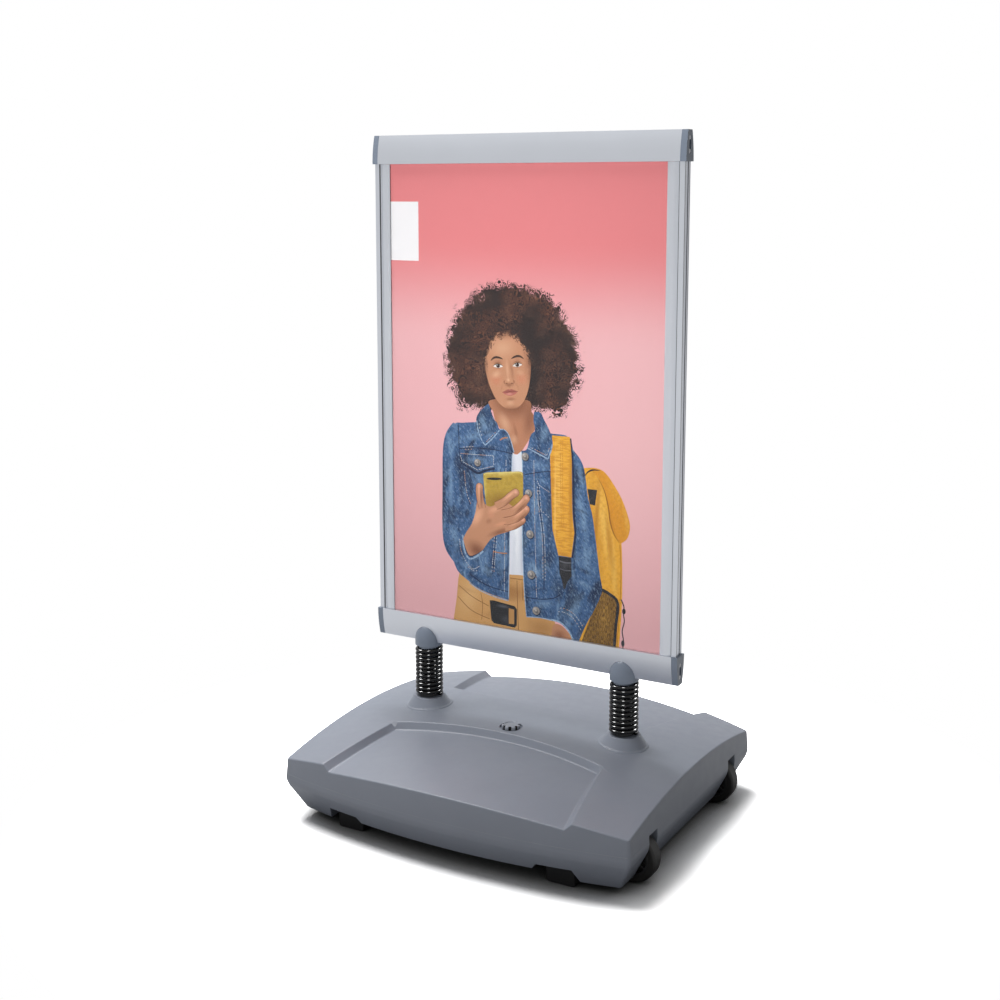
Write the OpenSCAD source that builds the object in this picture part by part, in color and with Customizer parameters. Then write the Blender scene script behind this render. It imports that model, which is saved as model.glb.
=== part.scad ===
// Double-sided poster sign on two springs, standing on a wheeled water tank.
// Millimetres, +Z up. Origin on the ground under the middle of the sign. +X is the wheel end.

/* [Poster and frame] */
// Width of the poster sheet
poster_w = 610; // [420:1:800]
// Height of the poster sheet
poster_h = 914; // [600:1:1200]
// Strip of the poster hidden behind each side lid
side_overlap = 13; // [8:0.5:16]
// Strip of the poster hidden behind each rail lip
end_overlap = 10; // [6:0.5:12]
// Height of the top and bottom rails
rail_h = 55; // [48:1:80]
// Depth of a rail at its lip, front to back
rail_d = 33.5; // [32:0.5:50]
// How far a rail face falls back from its lip to its outer edge
rail_fall = 7.5; // [3:0.5:8]
// Wall thickness of the rail extrusion
rail_wall = 2; // [1.6:0.1:2.6]
// Depth of a side post, front to back
post_d = 26; // [26:0.5:30]
// Width of a side post with its lids
post_w = 33; // [31:0.5:45]
// Width of the fixed strip beside each side lid
strip_w = 9; // [8:0.5:11]
// Wall thickness of the post extrusion
post_wall = 1.6; // [1.2:0.1:1.8]
// Thickness of a snap lid
lid_wall = 1.4; // [1.2:0.1:1.8]
// How far a snap lid arches forward between hinge and lip
lid_arch = 3; // [2:0.1:3.6]
// Radius of the bead that a snap lid turns on
bead_r = 1.7; // [1.5:0.1:1.9]
// Furthest that a snap lid swings open, in degrees
lid_open = 75; // [45:1:80]
// Thickness of an end cap
cap_t = 12; // [10:0.5:20]
// How far an end cap stands out past the post
cap_proud = 4; // [2:0.5:8]

/* [Poster layers] */
// Thickness of a backing sheet
backing_t = 1.5; // [1:0.1:1.6]
// Thickness of a poster
poster_t = 0.4; // [0.2:0.1:0.5]
// Thickness of a clear cover sheet
cover_t = 0.9; // [0.5:0.1:1]

/* [Springs] */
// Distance between the two springs
spring_gap = 433; // [340:1:500]
// Outside diameter of a spring
spring_d = 56; // [50:1:62]
// Diameter of the spring wire
wire_d = 7.4; // [6:0.1:8]
// Height of a spring at rest
spring_h = 106; // [90:1:140]
// Number of turns in a spring
spring_turns = 10.5; // [8:0.5:11.5]
// Length of the plugs that the spring ends wind on to
plug_h = 25; // [15:1:32]
// Height of the holder ears on the rail faces
ear_h = 29; // [20:1:32]

/* [Tank] */
// Length of the tank at its top edge
tank_l = 720; // [600:1:880]
// Depth of the tank at its ends
tank_d = 572; // [480:1:680]
// How far each long side bows out at the middle
tank_bow = 39; // [20:1:50]
// Height of the four top corners above the ground
corner_z = 118; // [105:1:150]
// Rise of each end's top edge at its middle
end_rise = 30.7; // [20:0.1:45]
// Rise of each long side's top edge at its middle
side_rise = 32; // [20:0.1:45]
// How much flatter the middle is than both rises added up
crown_ease = 9.7; // [0:0.1:15]
// Wall thickness of the tank
tank_wall = 4; // [3:0.5:6]
// Height of the widest line round the tank
knuckle_z = 73; // [60:1:85]
// How far the widest line stands out past the top edge
knuckle_out = 3; // [1:0.5:5]
// How far the sides run in from the top edge to the foot
foot_in = 26; // [15:1:35]
// Height of the tank's lowest edge above the ground
foot_z = 16; // [10:1:22]
// Height of the tank's underside
belly_z = 31; // [26:1:36]

/* [Tank recesses] */
// Depth of the recesses in the top
recess_deep = 14; // [8:1:18]
// Half width of a recess at its inner corners
recess_x = 229; // [150:1:250]
// How much wider each side of a recess is at its mouth
recess_flare = 32; // [0:1:50]
// Distance of a recess from the middle of the tank
recess_y = 80; // [75:1:120]
// How far the inner wall of a recess bends back at its corners
recess_bend = 33; // [0:1:50]
// Slope of the recess walls, measured along the top
recess_slope = 9; // [4:1:12]

/* [Bosses and filler] */
// Height of a spring boss above the tank
boss_h = 20; // [14:1:30]
// Radius of the flat top of a spring boss
boss_r = 30; // [29:0.5:36]
// Radius of a spring boss where it meets the tank
boss_foot_r = 43; // [38:1:50]
// Distance of the filler in front of the middle
filler_y = 48; // [36:1:60]
// Radius of the filler bore
filler_r = 14; // [10:0.5:16]
// Radius of the filler cap
filler_cap_r = 18.5; // [17.5:0.5:22]
// Thread pitch of the filler cap
filler_pitch = 3; // [2:0.5:4]

/* [Runners and wheels] */
// Distance of each runner from the middle
runner_x = 222; // [190:1:240]
// Width of a runner
runner_w = 56; // [40:1:60]
// Height of a runner
runner_h = 43; // [38:1:50]
// Gap between a runner and the sides of its channel
runner_gap = 5; // [2:0.5:8]
// How far a runner's ends lie inside the foot of the tank's sides
runner_inset = 14; // [2:1:30]
// Radius of a wheel over its tyre
wheel_r = 45; // [36:1:50]
// Width of a wheel
wheel_w = 30; // [22:1:36]
// Distance of each wheel from the middle, along the depth
wheel_y = 190; // [150:1:200]
// How far a wheel stands out past the end of the tank
wheel_out = 9; // [4:1:12]
// Height of a standing wheel above the ground
wheel_lift = 1; // [0.5:0.5:4]
// Radius of a wheel's hub
hub_r = 32; // [20:1:34]
// Radius of a wheel axle
axle_r = 5; // [4:0.5:6]

/* [Hidden] */

aluminium = "silver";
slate = "slategray";
cap_grey = "lightslategray";
steel = "lightgray";

// Clearances: seat is between fixed pieces, turn is round a moving shaft, free is past a moving edge.
seat = 0.1;
turn = 0.08;
free = 0.3;

half_l = tank_l / 2;
half_d = tank_d / 2;
spring_x = spring_gap / 2;

// Top of the tank at a point: both rises fall away as squares towards the edges.
function edge_y(x) = half_d + tank_bow * (1 - pow(x / half_l, 2));
function crown_z(x, y) =
  let (u = 1 - pow(x / half_l, 2), v = 1 - pow(y / edge_y(x), 2))
  corner_z + end_rise * v + side_rise * u - crown_ease * u * v;

boss_z = crown_z(spring_x, 0) + boss_h;
spring_top_z = boss_z + spring_h;
collar_h = 8.3;
sign_z = spring_top_z + collar_h;

view_w = poster_w - 2 * side_overlap;
view_h = poster_h - 2 * end_overlap;
lip_x = view_w / 2;
post_x = lip_x + post_w;
cap_x = post_x + cap_proud;
rail_x = cap_x - cap_t;
view_z = sign_z + rail_h;
top_lip_z = view_z + view_h;
sign_top_z = top_lip_z + rail_h;

// Rail section: an arc falls back by rail_fall over the rail's height.
rail_arc_r = (pow(rail_h, 2) + pow(rail_fall, 2)) / (2 * rail_fall);
rail_half = rail_d / 2;
rail_edge = rail_half - rail_fall;

// The rail's two webs, given by their upper faces, and the screw ports against them.
port_r = 3.8;
web_z = [12, rail_h - end_overlap - 4];
port_z = [web_z[0] - rail_wall + port_r, web_z[1] - port_r];

// The layers between the lips, counted outwards from the middle of the frame.
cover_y = post_d / 2 - 3.3;
poster_y = cover_y - cover_t;
backing_y = poster_y - poster_t;
sheet_y = backing_y - backing_t;

// The lid's wall leaves its bead at root_angle. Shut, it lies clear of the seat from shut_angle on.
lid_gap_w = 1.6;
root_angle = 130;
shut_angle = 93;
side_wall = 2;
box_x = lip_x + 4;
connector_y = sheet_y - free - post_wall - seat - 0.3;
bead_x = post_x - strip_w - bead_r - lid_gap_w;
bead_y = post_d / 2 - bead_r - 1.4;
seat_r = bead_r + turn + 1.5;
lid_z0 = view_z + free;
lid_h = view_h - 2 * free;

core_r = spring_d / 2 - wire_d;
plug_r = core_r - 2 * free;
bolt_r = 6;
screw_r = 4;
small_r = 2;
plug_head_h = 8;
holder_head_h = 8;
nut_plate_t = 7;
insert_r = 10;
insert_h = 30;

filler_z = crown_z(0, filler_y);
dish_r = filler_cap_r + 4;
dish_deep = 4;
seal_t = 2;
seal_w = 2.4;
blow_r = filler_r - 3;
neck_h = 26;
neck_wall = 4;

// The tank's solid parts: round the inserts and screws, round the axles, and under each boss.
column_wall = 6;
axle_wall = 10;
boss_root = 14;

// Hand pockets under the tank's two ends, between the wheels.
pocket_l = 56;
pocket_gap = 6;

runner_edge_x = runner_x + runner_w / 2 + runner_gap;
runner_inner_x = runner_x - runner_w / 2 - runner_gap;
runner_end_y = edge_y(runner_x) - foot_in - runner_inset;
runner_screw_y = [for (k = [-0.75, -0.3, 0.3, 0.75]) k * runner_end_y];
runner_pocket = 14;
runner_head_r = 5;
runner_head_h = 4;
insert_len = 16;

wheel_x = half_l + knuckle_out + wheel_out - wheel_r;
wheel_z = wheel_r + wheel_lift;
well_gap = 3;
well_w = wheel_w + 2 * well_gap;
well_x0 = wheel_x - wheel_r - 6;
well_z = wheel_z + wheel_r + 5;
cheek = 14;
axle_l = well_w + 2 * (cheek - 4);

connector_low = rail_h - web_z[1] - seat;
leg_l = 70;
leg_screws = [18, 50];
foot_x = rail_x - leg_l - 10;
foot_screws = [foot_x + 6.25, foot_x + 26.25];
post_screw_z = [for (z = leg_screws, top = [0, 1]) top > 0 ? top_lip_z - z : view_z + z];

// Rows and columns of the tank's top: the recess lies between its rims and its mouth.
floor_cols = 4;
end_cols = 2;
mid_rows = 2;
mouth_rows = 3;
last_col = floor_cols + 1 + end_cols;
last_row = mid_rows + 1 + mouth_rows;

function mix(a, b, t) = a + (b - a) * t;
function mouth_t(r) = max(0, (abs(r) - mid_rows - 1) / mouth_rows);
function rim_x(r) = recess_x + recess_flare * mouth_t(r);
function floor_x(r) = rim_x(r) - recess_slope - 0.15 * recess_flare * mouth_t(r);
function col_x(c, r) = sign(c) * (
  abs(c) <= floor_cols ? floor_x(r) * abs(c) / floor_cols :
  mix(rim_x(r), half_l, (abs(c) - floor_cols - 1) / end_cols));
function rim_y(x) = recess_y + recess_bend * min(1.2, pow(x / recess_x, 2));
function row_y(r, x) = sign(r) * (
  abs(r) <= mid_rows ? rim_y(x) * abs(r) / mid_rows :
  mix(rim_y(x) + recess_slope, edge_y(x), mouth_t(r)));
function in_recess(c, r) = abs(c) <= floor_cols && abs(r) > mid_rows;

// A top point, drawn in by the wall w for the inner skin.
function top_point(c, r, w) =
  let (x = col_x(c, r), y = row_y(r, x), k = (half_l - w) / half_l)
  [x * k, y * (edge_y(x) - w) / edge_y(x), crown_z(x, y) - (in_recess(c, r) ? recess_deep : 0) - w];

// The outline, counter-clockwise seen from above, as column and row pairs.
outline = concat(
  [for (c = [-last_col : last_col - 1]) [c, -last_row]],
  [for (r = [-last_row : last_row - 1]) [last_col, r]],
  [for (c = [last_col : -1 : -last_col + 1]) [c, last_row]],
  [for (r = [last_row : -1 : -last_row + 1]) [-last_col, r]]);

// A ring below the outline, moved out by out and at height z.
function ring_point(c, r, out, z) =
  let (x = col_x(c, r), y = row_y(r, x))
  [x * (half_l + out) / half_l, y * (edge_y(x) + out) / edge_y(x), z];

module tank_skin(w, bottom) {
  cols = 2 * last_col + 1;
  rows = 2 * last_row + 1;
  n = len(outline);
  function at(c, r) = (r + last_row) * cols + c + last_col;
  top = [for (r = [-last_row : last_row], c = [-last_col : last_col]) top_point(c, r, w)];
  knuckle = [for (p = outline) ring_point(p[0], p[1], knuckle_out - w, knuckle_z)];
  foot_out = -foot_in * (knuckle_z - bottom) / (knuckle_z - foot_z) - w;
  foot = [for (p = outline) ring_point(p[0], p[1], foot_out, bottom)];
  base = cols * rows;
  faces_top = [for (r = [-last_row : last_row - 1], c = [-last_col : last_col - 1], half = [0, 1])
    half == 0 ? [at(c, r), at(c, r + 1), at(c + 1, r + 1)] : [at(c, r), at(c + 1, r + 1), at(c + 1, r)]];
  faces_side = [for (i = [0 : n - 1], half = [0, 1])
    let (j = (i + 1) % n, p = outline[i], q = outline[j])
    half == 0 ? [at(p[0], p[1]), at(q[0], q[1]), base + j] : [at(p[0], p[1]), base + j, base + i]];
  faces_low = [for (i = [0 : n - 1], half = [0, 1])
    let (j = (i + 1) % n)
    half == 0 ? [base + i, base + j, base + n + j] : [base + i, base + n + j, base + n + i]];
  polyhedron(concat(top, knuckle, foot),
    concat(faces_top, faces_side, faces_low, [[for (i = [0 : n - 1]) base + n + i]]));
}

module both_x(x) {
  for (s = [-1, 1]) translate([s * x, 0, 0]) children();
}

module both_y(y) {
  for (s = [-1, 1]) translate([0, s * y, 0]) children();
}

// A box centred on X and Y that starts at height z.
module block(x, y, z, h) {
  translate([-x / 2, -y / 2, z]) cube([x, y, h]);
}

module wheel_wells(grow) {
  for (s = [-1, 1])
    translate([well_x0 - grow, s * wheel_y - well_w / 2 - grow, foot_z - 1])
      cube([half_l, well_w + 2 * grow, well_z - foot_z + 1 + grow]);
}

module runner_channels(grow) {
  channel_w = runner_w + 2 * runner_gap + 2 * grow;
  for (s = [-1, 1])
    translate([s * runner_x - channel_w / 2, -tank_d, foot_z - 1])
      cube([channel_w, 2 * tank_d, runner_h - foot_z + 1 + grow]);
}

// What stays solid inside the tank: casings of the wells, axles and channels, and the columns
// round the screws, the inserts and the filler.
module tank_inner_walls() {
  wheel_wells(tank_wall);
  for (s = [-1, 1])
    translate([wheel_x - axle_r - axle_wall, s * wheel_y - well_w / 2 - cheek, foot_z])
      cube([2 * (axle_r + axle_wall), well_w + 2 * cheek, wheel_z - foot_z + axle_r + axle_wall]);
  runner_channels(tank_wall);
  for (s = [-1, 1], y = runner_screw_y) translate([s * runner_x, y, runner_h])
    cylinder(r = small_r + column_wall, h = insert_len + tank_wall, $fn = 32);
  both_x(spring_x) translate([0, 0, boss_z - insert_h - 2 * tank_wall])
    cylinder(r = insert_r + column_wall, h = insert_h + column_wall, $fn = 48);
  translate([0, -filler_y, filler_z - neck_h])
    cylinder(r = filler_r + neck_wall, h = neck_h + 1, $fn = 64);
  translate([0, -filler_y, filler_z - dish_deep - tank_wall])
    cylinder(r = dish_r + tank_wall, h = dish_deep + tank_wall, $fn = 64);
}

// A spring boss: its hollow flank runs from the flat seat out to the crown, above a solid root.
module boss_flare() {
  drop = boss_h + boss_root;
  rise = boss_h - 2;
  run = boss_foot_r - boss_r;
  rotate_extrude($fn = 64)
    polygon([[0, -drop], [boss_foot_r, -drop], [boss_foot_r, -boss_h],
      [boss_r + run / 2, -boss_h + rise / 4], [boss_r + run / 5, -boss_h + rise / 2], [boss_r, -1.5],
      [boss_r - 1.5, 0], [0, 0]]);
}

// A hole down through the filler's neck and out past both of its ends.
module filler_hole(r, sides) {
  past = 20;
  translate([0, -filler_y, filler_z - neck_h - past]) cylinder(r = r, h = neck_h + 2 * past, $fn = sides);
}

// The moulding before it is drilled: shell, bosses, runner channels, wheel wells and end pockets.
module tank_moulding() {
  resize([0, 0, 0])
  difference() {
    union() {
      difference() {
        tank_skin(0, foot_z);
        difference() {
          tank_skin(tank_wall, belly_z + tank_wall);
          tank_inner_walls();
        }
      }
      both_x(spring_x) translate([0, 0, boss_z]) boss_flare();
    }
    block(2 * runner_edge_x, 2 * tank_d, foot_z - 1, belly_z - foot_z + 1);
    runner_channels(0);
    wheel_wells(0);
    both_x(half_l - foot_in - 0.75 * pocket_l)
      block(pocket_l, 2 * (wheel_y - well_w / 2 - cheek - pocket_gap), foot_z - 1, belly_z - foot_z + 1);
    both_y(wheel_y) translate([wheel_x, 0, 0])
      block(2 * (axle_r + seat), axle_l + 2 * seat, foot_z - 1, wheel_z - foot_z + 1);
    filler_hole(blow_r, 12);
  }
}

module tank() {
  color(slate)
  difference() {
    tank_moulding();
    both_x(spring_x) translate([0, 0, boss_z - insert_h])
      cylinder(r = insert_r, h = insert_h + 1, $fn = 48);
    for (s = [-1, 1], y = runner_screw_y)
      translate([s * runner_x, y, runner_h - 1]) cylinder(r = small_r, h = insert_len + 1, $fn = 24);
    filler_hole(filler_r, 64);
    translate([0, -filler_y, filler_z - dish_deep]) cylinder(r = dish_r, h = dish_deep + 10, $fn = 64);
    both_y(wheel_y) translate([wheel_x, 0, wheel_z]) rotate([90, 0, 0])
      cylinder(r = axle_r + seat, h = axle_l + 2 * seat, center = true, $fn = 48);
  }
}

// One runner, chamfered along its lower edges, with pockets for its screws.
module runner(s) {
  chamfer = 4;
  half = runner_w / 2;
  color("dimgray")
  translate([s * runner_x, 0, 0])
  difference() {
    translate([0, runner_end_y, 0]) rotate([90, 0, 0])
      linear_extrude(2 * runner_end_y)
        polygon([[-half, chamfer], [-half + chamfer, 0], [half - chamfer, 0], [half, chamfer],
          [half, runner_h], [-half, runner_h]]);
    for (y = runner_screw_y) translate([0, y, 0]) {
      translate([0, 0, -1]) cylinder(r = runner_head_r + 1.5, h = runner_pocket + 1, $fn = 32);
      cylinder(r = small_r + seat, h = runner_h + 1, $fn = 24);
    }
  }
}

module runner_screws() {
  shank_l = runner_h - runner_pocket + insert_len - 1;
  color(steel)
  for (s = [-1, 1], y = runner_screw_y) translate([s * runner_x, y, 0])
    difference() {
      union() {
        translate([0, 0, runner_pocket - runner_head_h])
          cylinder(r = runner_head_r, h = runner_head_h, $fn = 32);
        translate([0, 0, runner_pocket - 1]) cylinder(r = small_r - seat / 2, h = shank_l, $fn = 24);
      }
      translate([0, 0, runner_pocket - runner_head_h - 1]) cylinder(r = 1.8, h = 3, $fn = 6);
    }
}

module wheel_axles() {
  color(steel)
  both_y(wheel_y) translate([wheel_x, 0, wheel_z]) rotate([90, 0, 0])
    cylinder(r = axle_r, h = axle_l, center = true, $fn = 48);
}

// Wedges pressed up into the grooves under the axle ends.
module axle_keepers() {
  keeper_l = cheek - 5;
  color(slate)
  for (s = [-1, 1], t = [-1, 1])
    translate([wheel_x, s * wheel_y + t * (well_w / 2 + keeper_l / 2 + 0.5), 0])
      difference() {
        block(2 * axle_r, keeper_l, foot_z, wheel_z - foot_z);
        translate([0, 0, wheel_z]) rotate([90, 0, 0])
          cylinder(r = axle_r + seat, h = keeper_l + 2, center = true, $fn = 48);
      }
}

module wheel_washers() {
  washer_t = well_gap - 0.4;
  color(steel)
  for (s = [-1, 1], t = [-1, 1])
    translate([wheel_x, s * wheel_y + t * (well_w / 2 - washer_t / 2 - 0.1), wheel_z])
      rotate([90, 0, 0]) difference() {
        cylinder(r = axle_r + 4.5, h = washer_t, center = true, $fn = 48);
        cylinder(r = axle_r + seat, h = washer_t + 2, center = true, $fn = 48);
      }
}

module wheel_hub(s) {
  color("dimgray")
  translate([wheel_x, s * wheel_y, wheel_z]) rotate([90, 0, 0]) difference() {
    cylinder(r = hub_r, h = wheel_w, center = true, $fn = 96);
    for (t = [-1, 1]) translate([0, 0, t * (wheel_w / 2)]) difference() {
      cylinder(r = hub_r - 4, h = wheel_w - 8, center = true, $fn = 96);
      cylinder(r = axle_r + 6, h = wheel_w, center = true, $fn = 48);
      for (k = [0 : 5]) rotate(k * 60) translate([-1.5, 0, -wheel_w / 2]) cube([3, hub_r, wheel_w]);
    }
    cylinder(r = axle_r + turn, h = wheel_w + 2, center = true, $fn = 48);
  }
}

module wheel_tyre(s) {
  shoulder = 5;
  edge = wheel_w / 2;
  color([0.12, 0.12, 0.12])
  translate([wheel_x, s * wheel_y, wheel_z]) rotate([90, 0, 0])
    rotate_extrude($fn = 96) difference() {
      translate([hub_r, -edge]) square([wheel_r - hub_r, wheel_w]);
      for (t = [-1, 1]) translate([wheel_r - shoulder, t * (edge - shoulder)]) difference() {
        translate([0, t > 0 ? 0 : -shoulder - 1]) square([shoulder + 1, shoulder + 1]);
        circle(r = shoulder, $fn = 32);
      }
    }
}

module boss_inserts() {
  color("goldenrod")
  both_x(spring_x) translate([0, 0, boss_z - insert_h]) difference() {
    cylinder(r = insert_r, h = insert_h, $fn = 48);
    translate([0, 0, 4]) cylinder(r = bolt_r + 0.05, h = insert_h, $fn = 48);
  }
}

module filler_cap() {
  head_h = 7;
  stem_h = 16;
  head_z = filler_z - dish_deep + seal_t;
  color(slate)
  translate([0, -filler_y, head_z]) difference() {
    union() {
      cylinder(r = filler_cap_r, h = head_h, $fn = 96);
      translate([0, 0, -stem_h]) cylinder(r = filler_r - free, h = stem_h + 1, $fn = 64);
    }
    for (k = [0 : 7]) rotate(k * 45 + 22.5) translate([filler_cap_r + 0.8, 0, 1.2])
      cylinder(r = 3.6, h = head_h, $fn = 24);
    translate([0, 0, head_h - 1.5]) cylinder(r = filler_cap_r - 6, h = 3, $fn = 64);
    translate([0, 0, -stem_h - 1]) cylinder(r = filler_r - 3, h = stem_h - 1, $fn = 64);
  }
}

module filler_seal() {
  color([0.1, 0.1, 0.1])
  translate([0, -filler_y, filler_z - dish_deep]) difference() {
    cylinder(r = filler_r + seal_w, h = seal_t, $fn = 64);
    translate([0, 0, -1]) cylinder(r = filler_r - free + turn, h = seal_t + 2, $fn = 64);
  }
}

// Spring wire: a ring of points is carried up the helix, and its ends are flat.
module spring(s) {
  steps = 16;
  sides = 6;
  coil_r = (spring_d - wire_d) / 2;
  count = ceil(spring_turns * steps);
  rise = spring_h - wire_d - 2 * seat;
  function wire_point(i, k) =
    let (a = 360 * spring_turns * i / count, b = 360 * k / sides, r = coil_r + wire_d / 2 * cos(b))
    [r * cos(a), r * sin(a), rise * i / count + wire_d / 2 * sin(b)];
  points = [for (i = [0 : count], k = [0 : sides - 1]) wire_point(i, k)];
  walls = [for (i = [0 : count - 1], k = [0 : sides - 1], half = [0, 1])
    let (j = (k + 1) % sides, a = i * sides, b = a + sides)
    half == 0 ? [a + k, b + k, b + j] : [a + k, b + j, a + j]];
  ends = [[for (k = [0 : sides - 1]) k], [for (k = [sides - 1 : -1 : 0]) count * sides + k]];
  color([0.08, 0.08, 0.08])
  translate([s * spring_x, 0, boss_z + wire_d / 2 + seat]) polyhedron(points, concat(walls, ends));
}

module spring_plug(s) {
  color("dimgray")
  translate([s * spring_x, 0, boss_z]) difference() {
    cylinder(r = plug_r, h = plug_h, $fn = 64);
    translate([0, 0, -1]) cylinder(r = bolt_r + seat, h = plug_h + 2, $fn = 48);
    translate([0, 0, plug_h - plug_head_h]) cylinder(r = 2 * bolt_r, h = plug_head_h + 1, $fn = 48);
  }
}

module plug_bolts() {
  color(steel)
  both_x(spring_x) translate([0, 0, boss_z]) difference() {
    union() {
      translate([0, 0, plug_h - plug_head_h]) cylinder(r = 9.5, h = plug_head_h - 0.5, $fn = 48);
      translate([0, 0, 5 - insert_h])
        cylinder(r = bolt_r, h = plug_h + insert_h - plug_head_h - 4, $fn = 48);
    }
    translate([0, 0, plug_h - 4.5]) cylinder(r = 5.5, h = 5, $fn = 6);
  }
}

// Outline of a rail, outer edge at the origin and lip at rail_h, drawn in by inset.
module rail_outline(inset) {
  r = rail_arc_r - inset;
  intersection() {
    translate([rail_half - rail_arc_r, rail_h]) circle(r = r, $fn = 360);
    translate([rail_arc_r - rail_half, rail_h]) circle(r = r, $fn = 360);
    translate([-rail_half, inset]) square([rail_d, rail_h - inset]);
  }
}

// Rail section: curved skins, two webs with screw ports, and lips turned in to the cover sheets.
module rail_section() {
  difference() {
    union() {
      difference() {
        rail_outline(0);
        rail_outline(rail_wall);
      }
      intersection() {
        rail_outline(0);
        union() {
          for (z = web_z) translate([-rail_half, z - rail_wall]) square([rail_d, rail_wall]);
          for (z = port_z) translate([0, z]) circle(r = port_r, $fn = 32);
          for (t = [-1, 1]) translate([t > 0 ? cover_y + free : -rail_half, rail_h - rail_wall])
            square([rail_half - cover_y - free, rail_wall]);
        }
      }
    }
    for (z = port_z) translate([0, z]) circle(r = small_r - seat, $fn = 24);
  }
}

// Stands a section drawn as depth and height along X, from x0 for length l.
module along_x(x0, l) {
  translate([x0, 0, 0]) rotate([90, 0, 90]) linear_extrude(l) children();
}

module bottom_rail() {
  color(aluminium)
  difference() {
    translate([0, 0, sign_z]) along_x(-rail_x, 2 * rail_x) rail_section();
    both_x(spring_x) translate([0, 0, sign_z - 1])
      cylinder(r = screw_r + seat, h = rail_wall + 2, $fn = 32);
  }
}

module top_rail() {
  color(aluminium)
  translate([0, 0, sign_top_z]) mirror([0, 0, 1]) along_x(-rail_x, 2 * rail_x) rail_section();
}

module end_cap(s, top) {
  slot_w = 8;
  slot_deep = 2.5;
  color(cap_grey)
  translate([0, 0, top ? sign_top_z : sign_z]) mirror([0, 0, top ? 1 : 0]) mirror([s < 0 ? 1 : 0, 0, 0])
    difference() {
      along_x(rail_x, cap_t) rail_outline(0);
      translate([cap_x - slot_deep, 0, 0]) {
        translate([0, -slot_w / 2, port_z[0]]) cube([slot_deep + 1, slot_w, port_z[1] - port_z[0]]);
        for (z = port_z) translate([0, 0, z]) rotate([0, 90, 0])
          cylinder(r = slot_w / 2, h = slot_deep + 1, $fn = 48);
      }
      for (z = port_z) translate([rail_x - 1, 0, z]) rotate([0, 90, 0])
        cylinder(r = small_r + seat, h = cap_t + 2, $fn = 32);
    }
}

module cap_screws() {
  head_x = cap_x - 2.5;
  screw_l = cap_t + 14;
  color(steel)
  for (s = [-1, 1], top = [0, 1], z = port_z)
    translate([0, 0, top > 0 ? sign_top_z - z : sign_z + z]) mirror([s < 0 ? 1 : 0, 0, 0])
      translate([head_x, 0, 0]) rotate([0, 90, 0]) difference() {
        union() {
          cylinder(r = 3.6, h = 1.8, $fn = 32);
          translate([0, 0, -screw_l]) cylinder(r = small_r - 2 * seat, h = screw_l + 1, $fn = 24);
        }
        translate([0, 0, 0.8]) cylinder(r = 1.5, h = 2, $fn = 6);
      }
}

// Half of a post section for the right side, with its face at positive Y. A box backs the
// sheets, a floor closes the strip, and a seat wraps the lid's bead except where the lid swings.
module post_half() {
  web_top = sheet_y - free;
  web_low = web_top - post_wall;
  strip_x = post_x - strip_w;
  difference() {
    union() {
      translate([post_x - side_wall, 0]) square([side_wall, post_d / 2]);
      translate([strip_x, post_d / 2 - post_wall]) square([strip_w, post_wall]);
      translate([strip_x - 0.4, bead_y]) square([post_wall, post_d / 2 - bead_y]);
      translate([bead_x, bead_y]) circle(r = seat_r, $fn = 48);
      translate([bead_x, web_low]) square([post_x - bead_x, bead_y - bead_r - web_low]);
      translate([box_x, web_low]) square([post_x - box_x, post_wall]);
      translate([box_x, 0]) square([post_wall, web_top]);
    }
    translate([bead_x, bead_y]) {
      circle(r = bead_r + turn, $fn = 48);
      rotate(root_angle - lid_open - 5) square(strip_w * 2);
      rotate(shut_angle) square(strip_w * 2);
    }
    translate([post_x - side_wall / 2, -1]) square([side_wall, post_d / 6 + 1]);
    translate([strip_x + post_wall, web_top + post_wall])
      square([strip_w - post_wall - side_wall, post_d / 2 - web_top - 2 * post_wall]);
  }
}

module post(s) {
  color(aluminium)
  difference() {
    mirror([s < 0 ? 1 : 0, 0, 0]) translate([0, 0, view_z]) linear_extrude(view_h) {
      post_half();
      mirror([0, 1]) post_half();
    }
    for (z = post_screw_z) translate([s * box_x, 0, z]) rotate([0, 90, 0])
      cylinder(r = small_r + seat, h = 4 * post_wall, center = true, $fn = 24);
  }
}

// Section of a snap lid: a bead, an arched wall, and a lip just clear of the cover sheet.
module lid_section() {
  root = [bead_x + bead_r * cos(root_angle), bead_y + bead_r * sin(root_angle)];
  tip = [lip_x, cover_y + free + lid_wall];
  span = tip - root;
  chord = norm(span);
  arc_r = (pow(chord / 2, 2) + pow(lid_arch, 2)) / (2 * lid_arch);
  centre = (root + tip) / 2 + [span[1], -span[0]] / chord * (lid_arch - arc_r);
  intersection() {
    difference() {
      translate(centre) circle(r = arc_r, $fn = 180);
      translate(centre) circle(r = arc_r - lid_wall, $fn = 180);
    }
    polygon([centre, centre + 2 * (root - centre), centre + 2 * (tip - centre)]);
  }
  translate([bead_x, bead_y]) circle(r = bead_r, $fn = 48);
}

// s is -1 on the left and 1 on the right, f is -1 on the front and 1 on the back.
module lid(s, f) {
  color("gainsboro")
  mirror([s < 0 ? 1 : 0, 0, 0]) mirror([0, f < 0 ? 1 : 0, 0])
    translate([0, 0, lid_z0]) linear_extrude(lid_h) lid_section();
}

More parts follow.
